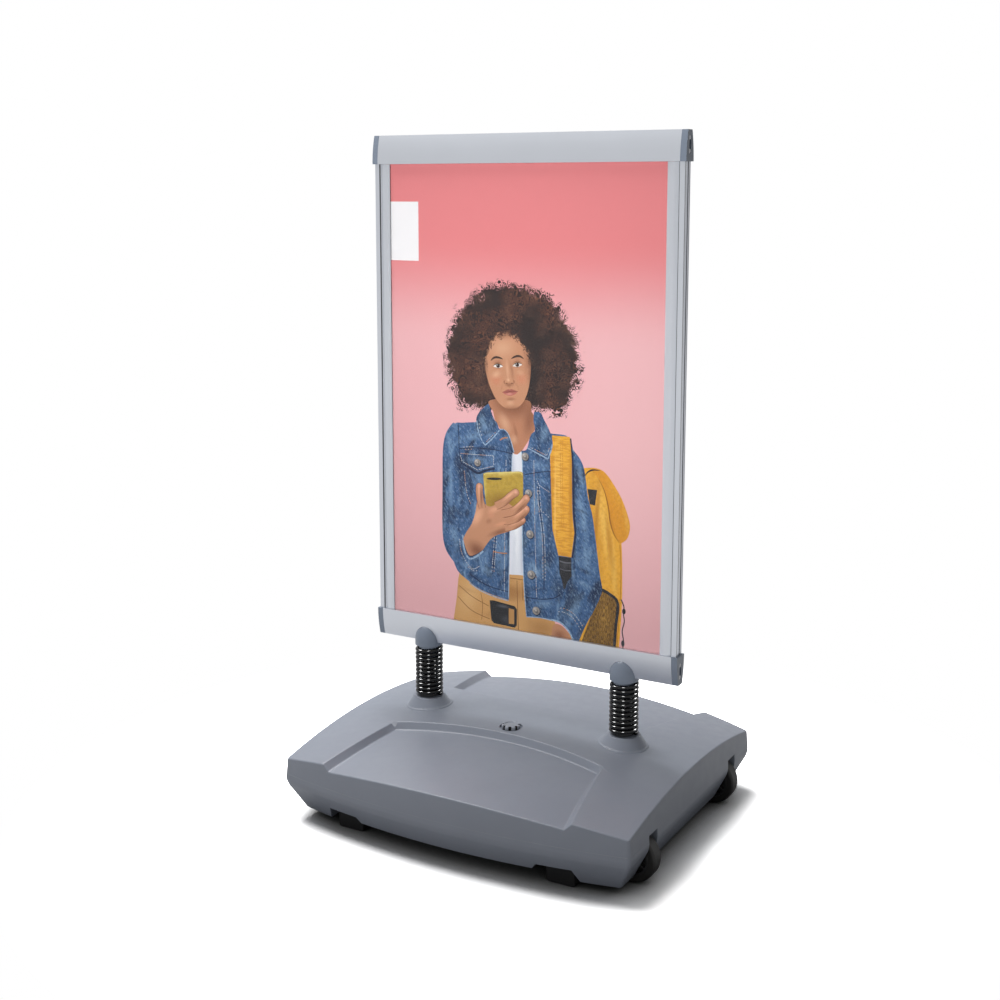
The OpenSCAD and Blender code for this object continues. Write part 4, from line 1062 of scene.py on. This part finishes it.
stitches(strap_line, [(84, 384), (84, 300), (87, 212)])
stitches(strap_line, [(88, 384), (88, 300), (91, 212)])
area(black_cloth,
     [(81, 158, 0), (108, 158, 0), (109, 122, 0), (100, 110), (96, 96, 0), (92, 96, 0), (88, 112),
      (83, 124, 0)])
stroke(Ink("ladder", (98, 98, 106), 0.4), [(83, 149), (95, 147), (107, 148)], 2.4)
stroke(Ink("ladder_low", (84, 84, 92), 0.4), [(84, 134), (95, 132), (107, 133)], 2.0)

# Collar.
collar_left = denim("denim_collar_left", [(-84, 400, 12, 26, 20, 0.7), (-70, 378, 14, 8, 40, 0.4)],
                    [(-62, 410, 8, 26, 18, 0.7)])
collar_right = denim("denim_collar_right", [(50, 392, 12, 26, -20, 0.6), (52, 356, 12, 6, 24, 0.4)],
                     [(34, 396, 8, 34, -10, 0.8)])
stand = denim("denim_stand", [(-30, 376, 8, 10, 0, 0.5)], [(-40, 386, 8, 8, 0, 0.6)])
area(stand, [(-50, 390, 0), (-40, 391), (-29.5, 384), (-22, 367), (-16, 348, 0), (-26, 350), (-40, 362),
             (-56, 378)])
stroke(pale_edge, [(-47, 391), (-38, 391), (-29, 384), (-22, 368), (-16, 349)], 1.8)
stroke(Ink("tab_thread", (190, 128, 80), 0.6), [(-47, 370), (-38, 375), (-30, 376)], 2.4)
for ink, points in ((collar_left,
                     [(-72, 439, 0), (-88, 426), (-99, 409), (-97, 388), (-88, 368), (-79.5, 356.5, 0),
                      (-62, 373), (-47, 390, 0), (-56, 404), (-64.5, 420)]),
                    (collar_right, [(27, 430, 0), (40.5, 430), (50.5, 414), (60, 398), (66.5, 378),
                                    (66, 364), (56.5, 341.5, 0), (34, 351), (12, 359, 0), (24, 377),
                                    (29, 397), (26, 414)])):
    area(ink, points)
stroke(pale_edge, [(-98, 404), (-96, 388), (-88, 368), (-79.5, 357, 0), (-62, 373), (-48, 389)], 2.2)
stroke(pale_edge, [(66, 372), (64, 360), (57, 343, 0), (34, 352), (13, 360)], 2.2)
stitches(thread, [(-93, 404), (-92, 388), (-85, 372), (-78, 363, 0), (-64, 377), (-53, 388)])
stitches(thread, [(61, 376), (60, 364), (54, 349, 0), (36, 356), (20, 362)])

# Buttons, down the right-hand front and on the pocket.
for x, height, size in ((8, 343, 7.6), (15.5, 272.5, 7.6), (19, 193, 8), (22, 114, 8.4), (33, 44, 8),
                        (-97, 321.5, 7.2)):
    steel = Ink("button", (146, 140, 134), 0.35)
    steel.wash((214, 208, 202), x - 2, height + 2.5, size * 0.7, size * 0.6, 0.9)
    steel.wash((86, 80, 76), x + 3, height - 3.5, size * 0.6, size * 0.5, 0.8)
    oval(denim_dark, x + 0.9, height - 1.1, size + 0.8, size + 0.8)
    oval(steel, x, height, size, size)
    oval(denim_dark, x, height, size * 0.46, size * 0.46, 0, 14)
    oval(steel, x, height, size * 0.36, size * 0.36, 0, 14)

# Phone, and the hand that holds it.
phone = Ink("phone", (190, 158, 60), 0.4)
phone.wash((226, 204, 118), -40, 308, 60, 10, 0.9, 8)
phone.wash((136, 96, 34), -44, 246, 60, 34, 0.9, 8)
phone.wash((216, 196, 104), -80, 272, 5, 40, 0.7)
phone.mottle((150, 120, 44), 120, 0.4, 0.7, 0.4, detail=1)
area(phone, [(-84, 295), (-81, 302), (-74, 304.5, 0), (-6, 313, 0), (1, 312), (4, 305), (4, 258, 0),
             (-10, 244, 0), (-66, 234, 0), (-74, 235), (-78, 242)])
stroke(Ink("phone_rim", (224, 208, 128), 0.4),
       [(-82, 298), (-76, 302), (-40, 307), (-4, 310.5), (2, 306)], 1.4)
oval(Ink("phone_slot", (30, 28, 26), 0.3), -59, 293.2, 17.5, 2.6, 5)
skin = Ink("hand", SKIN, 0.5)
skin.wash((232, 172, 138), -98, 214, 16, 34, 0.85, -30)
skin.wash((232, 172, 138), -60, 232, 22, 9, 0.7, 24)
skin.wash((226, 160, 124), -44, 206, 24, 6, 0.6, 20)
skin.wash(SKIN_DARK, -98, 146, 36, 26, 0.95, -30)
skin.wash(SKIN_DARK, -46, 190, 40, 9, 0.8, 22)
skin.wash((214, 148, 116), -66, 222, 12, 12, 0.5)
skin.wash((150, 96, 68), -72, 208, 12, 8, 0.5, 30)
area(skin, [(-130, 166, 0), (-122, 181), (-110, 199), (-102, 222), (-98, 243), (-90, 252), (-78, 240),
            (-66, 238), (-50, 248), (-38, 252), (-20, 244), (-6, 232), (2, 220), (0, 208), (-14, 199),
            (-34, 190), (-52, 183), (-66, 174), (-76, 162), (-85, 149, 0), (-100, 139), (-115, 134),
            (-124, 147)])
finger_edge = Ink("finger_edge", (118, 70, 48), 0.5)
for name, spine, width in (("thumb", [(-86, 232), (-91, 250), (-93, 266), (-92.5, 274)], 14.5),
                           ("little", [(-36, 199), (-18, 204), (-2, 214), (3, 219)], 12.5),
                           ("ring", [(-34, 212), (-12, 220), (4, 232), (11, 241)], 14),
                           ("middle", [(-42, 226), (-18, 234), (0, 248), (11, 262)], 14.5),
                           ("index", [(-56, 240), (-38, 250), (-22, 264), (-12, 271)], 14.5)):
    finger = Ink("finger_" + name, SKIN, 0.5)
    (ax, ay), (bx, by) = spine[-1], spine[1]
    turn = math.degrees(math.atan2(ay - by, ax - bx))
    finger.wash((236, 176, 142), (ax + bx) / 2 - 1, (ay + by) / 2 + 3.5, 28, 5, 0.9, turn)
    finger.wash((240, 178, 156), ax, ay + 1, 6, 5.5, 0.8)
    finger.wash(SKIN_DARK, (ax + bx) / 2 + 3, (ay + by) / 2 - 6.5, 32, 5, 0.8, turn)
    for ink, size in ((finger_edge, width + 1.6), (finger, width)):
        stroke(ink, spine, size)
        oval(ink, ax, ay, size / 2, size / 2)

# Face: a calm, plain one on the usual proportions of drawing books. The eyes lie at half the
# head's height and one eye's width apart, and the brows, the nose and the chin divide it in thirds.
HEAD_X, HEAD_Y, HEAD_TURN = -30, 515, 6
HEAD_TALL = 165
EYE = HEAD_TALL * 0.127
CHIN = -HEAD_TALL / 2
HAIRLINE = HEAD_TALL * 0.375
THIRD = (HAIRLINE - CHIN) / 3
BROW, NOSE = HAIRLINE - THIRD, CHIN + THIRD
MOUTH = NOSE - THIRD / 3


def head(u, v):
    c, s = math.cos(math.radians(HEAD_TURN)), math.sin(math.radians(HEAD_TURN))
    return HEAD_X + u * c - v * s, HEAD_Y + u * s + v * c


def head_area(ink, points, steps=5, flip=1):
    area(ink, [(*head(flip * p[0], p[1]), *p[2:]) for p in points], steps)


def head_line(ink, points, width, taper=True, flip=1):
    stroke(ink, [head(flip * u, v) for u, v in points], width, taper)


def head_wash(ink, colour, u, v, wide, tall, strength, turn=0, core=0.0):
    ink.wash(colour, *head(u, v), wide, tall, strength, HEAD_TURN + turn, core)


face = Ink("face", SKIN, 0.45)
head_wash(face, SKIN_LIGHT, -8, 34, 40, 26, 0.55)
for side in (-1, 1):
    head_wash(face, (208, 128, 98), side * 28, NOSE + 8, 20, 17, 0.55)
    head_wash(face, (150, 96, 68), side * EYE, 7, 17, 9, 0.55)
head_wash(face, SKIN_LIGHT, -27, -16, 15, 10, 0.7, 20)
head_wash(face, SKIN_LIGHT, 26, -15, 12, 8, 0.4, -20)
head_wash(face, SKIN_DARK, 52, -20, 20, 90, 0.8, 6)
head_wash(face, SKIN_DARK, -55, -14, 14, 90, 0.6, -4)
head_wash(face, SKIN_DARK, 0, CHIN - 4, 54, 13, 0.7)
head_wash(face, SKIN_DARK, 8, -10, 6, 26, 0.45, 4)
head_wash(face, SKIN_LIGHT, -1.5, -8, 4.6, 30, 0.6)
head_wash(face, SKIN_DARK, 0.5, NOSE - 2.5, 15, 6, 0.75)
head_wash(face, SKIN_LIGHT, -1.5, NOSE + 7, 6, 5.5, 0.75)
for side in (-1, 1):
    head_wash(face, (146, 90, 64), side * 10.6, NOSE + 3, 3.6, 5, 0.55)
    head_wash(face, (156, 100, 74), side * 17, NOSE - 6, 3, 14, 0.3, side * 24)
head_wash(face, (150, 94, 68), 0, MOUTH + 9.5, 3, 5, 0.35)
head_wash(face, (134, 82, 58), 0, MOUTH - 14, 15, 5, 0.6)
head_wash(face, SKIN_LIGHT, -2, CHIN + 11, 13, 8, 0.55)
face.mottle((206, 150, 116), 60, 0.45, 0.7, 0.3)
head_wash(face, (96, 58, 42), 0, HAIRLINE + 10, 66, 26, 0.85)
curl = face.curls(9)
ragged = face.maths("ADD", face.noise(42, 5, 1.6), face.maths("MULTIPLY", curl, 0.35))
reach = face.reach(*head(0, -9), 51, 73, HEAD_TURN)
rim = face.maths("ADD", reach, face.maths("MULTIPLY", ragged, 0.42))
over_brow = face.ramp(face.rise(*head(0, -16), 30, 30, HEAD_TURN), 0, 1)
lock = face.maths("MULTIPLY", face.ramp(rim, 1.20, 1.27), over_brow)
face.lay(lock, HAIR)
strand = face.maths("MULTIPLY", face.ramp(curl, 0.5, 0.95, 0.7), lock)
face.lay(face.maths("MULTIPLY", strand, face.ramp(face.noise(13, 3), 0.36, 0.66)), HAIR_WARM)
half_face = [(15, CHIN + 2.5), (30, CHIN + 16), (41, CHIN + 38), (47.5, -20), (51, 8), (51, 34), (45, 60),
             (28, 78)]
head_area(face, [(0, CHIN)] + half_face + [(0, 84)] + [(-u, v) for u, v in reversed(half_face)])

eye_white = Ink("eye_white", (228, 220, 216), 0.35)
iris = Ink("iris", (70, 42, 30), 0.3)
lash = Ink("lash", (30, 20, 18), 0.5)
lid = Ink("lid", (122, 76, 54), 0.5)
brow = Ink("brow", (52, 34, 28), 0.6)
brow.mottle((92, 62, 48), 160, 0.45, 0.65, 0.6, wide=2.0, tall=0.5)
for side in (-1, 1):
    half = EYE / 2
    almond = [(EYE - half, -0.8), (EYE - 5, 2.7), (EYE + 1, 3.9), (EYE + 6, 2.9), (EYE + half, 0.4),
              (EYE + 6, -2.3), (EYE, -3.4), (EYE - 6, -2.8)]
    head_area(eye_white, almond, flip=side)
    oval(iris, *head(side * EYE, 0.5), 4.1, 3.7)
    oval(lash, *head(side * EYE, 0.5), 1.8, 1.8, 0, 12)
    oval(eye_white, *head(side * EYE - 1.5, 2.0), 0.8, 0.8, 0, 10)
    head_line(lash, [(EYE - half - 0.4, -1.0), (EYE - 5, 2.9), (EYE + 1, 4.2), (EYE + 6, 3.2),
                     (EYE + half + 1, 0.6)], 1.9, flip=side)
    head_line(lid, [(EYE - 7, -2.8), (EYE, -4.0), (EYE + 7, -2.4)], 0.9, flip=side)
    head_line(lid, [(EYE - half, 3.4), (EYE, 7.2), (EYE + half, 4.6)], 1.0, flip=side)
    head_line(brow, [(9, BROW - 1.5), (15, BROW + 1.5), (24, BROW + 3.2), (31, BROW + 1.2),
                     (36, BROW - 3)], 4.4, flip=side)
    head_line(lid, [(3.2, NOSE - 1.2), (6, NOSE + 0.4), (8.4, NOSE - 0.8)], 2.0, flip=side)
    head_line(lid, [(8, NOSE + 7), (10.6, NOSE + 4.5), (10.4, NOSE + 0.5), (8.2, NOSE - 0.8)], 0.9,
              flip=side)
lip = Ink("lip_upper", (158, 88, 78), 0.4)
lip_low = Ink("lip_lower", (182, 106, 94), 0.4)
head_wash(lip_low, (216, 150, 134), -2, MOUTH - 4, 10, 3.2, 0.8)
MOUTH_HALF = EYE * 0.84
head_area(lip, [(-MOUTH_HALF, MOUTH, 0), (-9, MOUTH + 3.2), (-3.4, MOUTH + 5), (0, MOUTH + 4),
                (3.4, MOUTH + 5), (9, MOUTH + 3.2), (MOUTH_HALF, MOUTH, 0), (6, MOUTH - 0.7),
                (-6, MOUTH - 0.7)])
head_area(lip_low,
          [(-MOUTH_HALF, MOUTH, 0), (-6, MOUTH - 0.5), (6, MOUTH - 0.5), (MOUTH_HALF, MOUTH, 0),
           (10, MOUTH - 5), (0, MOUTH - 7.6), (-10, MOUTH - 5)])
head_line(Ink("lip_line", (104, 50, 44), 0.4),
          [(-MOUTH_HALF - 1, MOUTH + 0.4), (-7, MOUTH - 0.5), (0, MOUTH + 0.2), (7, MOUTH - 0.5),
           (MOUTH_HALF + 1, MOUTH + 0.4)], 1.3)


def print_mesh():
    """Cuts the sheet along the outlines. Each cut face takes the ink of the last area laid over it."""
    points, outlines = [], []
    for outline, ink in areas:
        turned = sum(ax * by - bx * ay for (ax, ay), (bx, by) in zip(outline, outline[1:] + outline[:1]))
        if turned < 0:
            outline = outline[::-1]
        outlines.append(list(range(len(points), len(points) + len(outline))))
        points += [Vector(p) for p in outline]
    spots, _, faces, _, _, owners = delaunay_2d_cdt(points, [], outlines, 1, 1e-4, True)
    bm = bmesh.new()
    front = [bm.verts.new((p.x / 1000, -PRINT_Y, LIP_Z + p.y / 1000)) for p in spots]
    inks = []
    for face_points, held_by in zip(faces, owners):
        if 0 not in held_by:
            continue
        mat = areas[max(held_by)][1].mat
        if mat not in inks:
            inks.append(mat)
        bm.faces.new([front[k] for k in face_points]).material_index = inks.index(mat)
    bmesh.ops.delete(bm, geom=[v for v in bm.verts if not v.link_faces], context="VERTS")
    rim = bmesh.ops.extrude_edge_only(bm, edges=[e for e in bm.edges if e.is_boundary])["geom"]
    back = [g for g in rim if isinstance(g, bmesh.types.BMVert)]
    for v in back:
        v.co.y = -SHEET_BACK_Y
    loop = [e for e in rim if isinstance(e, bmesh.types.BMEdge) and e.is_boundary]
    bmesh.ops.edgeloop_fill(bm, edges=loop)
    bmesh.ops.recalc_face_normals(bm, faces=bm.faces)
    mesh = finished_mesh("poster_print", bm)
    for mat in inks:
        mesh.materials.append(mat)
    return mesh


print_sheet = print_mesh()
for turn, face_name in ((0, "front"), (math.pi, "back")):
    poster = make_object("poster_sheet_" + face_name, print_sheet if not turn else print_sheet.copy())
    poster.rotation_euler.z = turn
    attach(poster, "sign")
    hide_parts("poster_" + face_name)

# Backing sheets: white, slightly textured plastic behind each poster.
for face_name in ("front", "back"):
    backing_plastic = plastic("backing_sheet", (0.83, 0.83, 0.83), 0.5, relief=0.1, mottle=0.02)
    dress(nodes["backing_" + face_name], backing_plastic)

# Cover sheets: thin clear plastic with a low-glare skin over each poster.
clear, tree, shader = new_material("cover_sheet")
set_inputs(tree, shader, {"Base Color": (0.30, 0.31, 0.32, 1), "Roughness": 0.22,
                          "Specular IOR Level": 0.35, "Alpha": 0.04})
for face_name in ("front", "back"):
    dress(nodes["cover_" + face_name], clear)

# ---------------------------------------------------------------------------------------------
# Floor, lamps and camera. A plain white floor fades into a white background and keeps the lamps' shadow
# under the base, darkened further by painted shade near the base. A broad lamp hangs above and a soft one
# stands before each face, and three more put their glints on the springs alone.

bm = bmesh.new()
bmesh.ops.create_grid(bm, x_segments=1, y_segments=1, size=9)
floor = make_object("floor", finished_mesh("floor", bm))
mat = new_material("floor_white")[0]
tree = mat.node_tree
tree.nodes.clear()


def ray_levels(tree):
    """Which rays come straight from the camera, and which do so or off a glossy surface."""
    rays = add_node(tree, "LightPath").outputs
    direct = figure(tree, "MAXIMUM", rays["Is Camera Ray"], rays["Is Transmission Ray"])
    return direct, figure(tree, "MAXIMUM", direct, rays["Is Glossy Ray"])


direct, seen = ray_levels(tree)
far = add_node(tree, "VectorMath", {0: object_place(tree)}, operation="LENGTH").outputs["Value"]
distance = {"From Min": 0.42, "From Max": 1.0, "Value": far}
fade = add_node(tree, "MapRange", distance, interpolation_type="SMOOTHSTEP").outputs["Result"]
level = add_node(tree, "MapRange", {"To Min": 0.75, "To Max": 1.0, "Value": direct})
tone = add_node(tree, "MapRange", {"To Min": 0.5, "To Max": 4.2, "Value": direct})
# Painted shade: ambient occlusion darkens the floor's colour near and under the base, on top of the lamps'
# real shadow.
painted_contact_shade = add_node(tree, "AmbientOcclusion", {"Distance": 0.10}).outputs["AO"]
toned = figure(tree, "MULTIPLY", tone.outputs["Result"], figure(tree, "POWER", painted_contact_shade, 1.6))
paint = add_node(tree, "BsdfDiffuse", {"Color": toned})
white = add_node(tree, "Emission", {"Strength": level.outputs["Result"]})
layers = {0: figure(tree, "MULTIPLY", fade, seen), 1: paint.outputs[0], 2: white.outputs[0]}
blend = add_node(tree, "MixShader", layers)
add_node(tree, "OutputMaterial", {"Surface": blend.outputs[0]})
floor.data.materials.append(mat)

world = bpy.data.worlds.new("studio")
bpy.context.scene.world = world
world.use_nodes = True
tree = world.node_tree
direct, seen = ray_levels(tree)
levels = {"To Min": 0.17, "To Max": 1.0, "From Max": 2, "Value": figure(tree, "ADD", direct, seen)}
level = add_node(tree, "MapRange", levels).outputs["Result"]
set_inputs(tree, tree.nodes["Background"], {"Strength": level, "Color": (1, 1, 1, 1)})


def softbox(name, spot, aim, wide, tall, power, spread=180):
    lamp = bpy.data.lights.new(name, "AREA")
    lamp.shape = "RECTANGLE"
    lamp.size, lamp.size_y = wide, tall
    lamp.energy = power
    lamp.spread = math.radians(spread)
    obj = bpy.data.objects.new(name, lamp)
    obj.location = spot
    obj.rotation_mode = "QUATERNION"
    obj.rotation_quaternion = (Vector(aim) - Vector(spot)).to_track_quat("-Z", "Y")
    bpy.context.scene.collection.objects.link(obj)
    return obj


softbox("lamp_above", (-1.1, 0.3, 2.9), (0, 0, 0.1), 2.2, 2.2, 122)
for side, power in ((-1, 4.5), (1, 2.6)):
    facing = softbox("lamp_facing", (0, side * 3.0, 0.96), (0, 0, 0.96), 1.3, 1.25, power, 26)
    facing.visible_glossy = False
polished = bpy.data.collections.new("spring_glints")
for side in ("left", "right"):
    polished.objects.link(bpy.data.objects["spring_coil_" + side])
for spot in ((-2.2, -0.9, 1.9), (0.9, -2.7, 2.3), (2.0, 1.7, 1.7)):
    glint = softbox("lamp_glint", spot, (0, 0, 0.25), 0.95, 0.95, 150)
    glint.visible_diffuse = False
    glint.light_linking.receiver_collection = polished

camera = bpy.data.cameras.new("camera")
camera.sensor_width = 36
camera.lens = 51.7
camera.shift_y = -0.10
camera_object = bpy.data.objects.new("camera", camera)
camera_object.location = (1.293, -2.367, 1.199)
camera_object.rotation_mode = "XYZ"
camera_object.rotation_euler = (math.radians(90 - 8.37), 0, math.radians(29.60))
bpy.context.scene.collection.objects.link(camera_object)
bpy.context.scene.camera = camera_object
bpy.context.scene.view_settings.view_transform = "Standard"
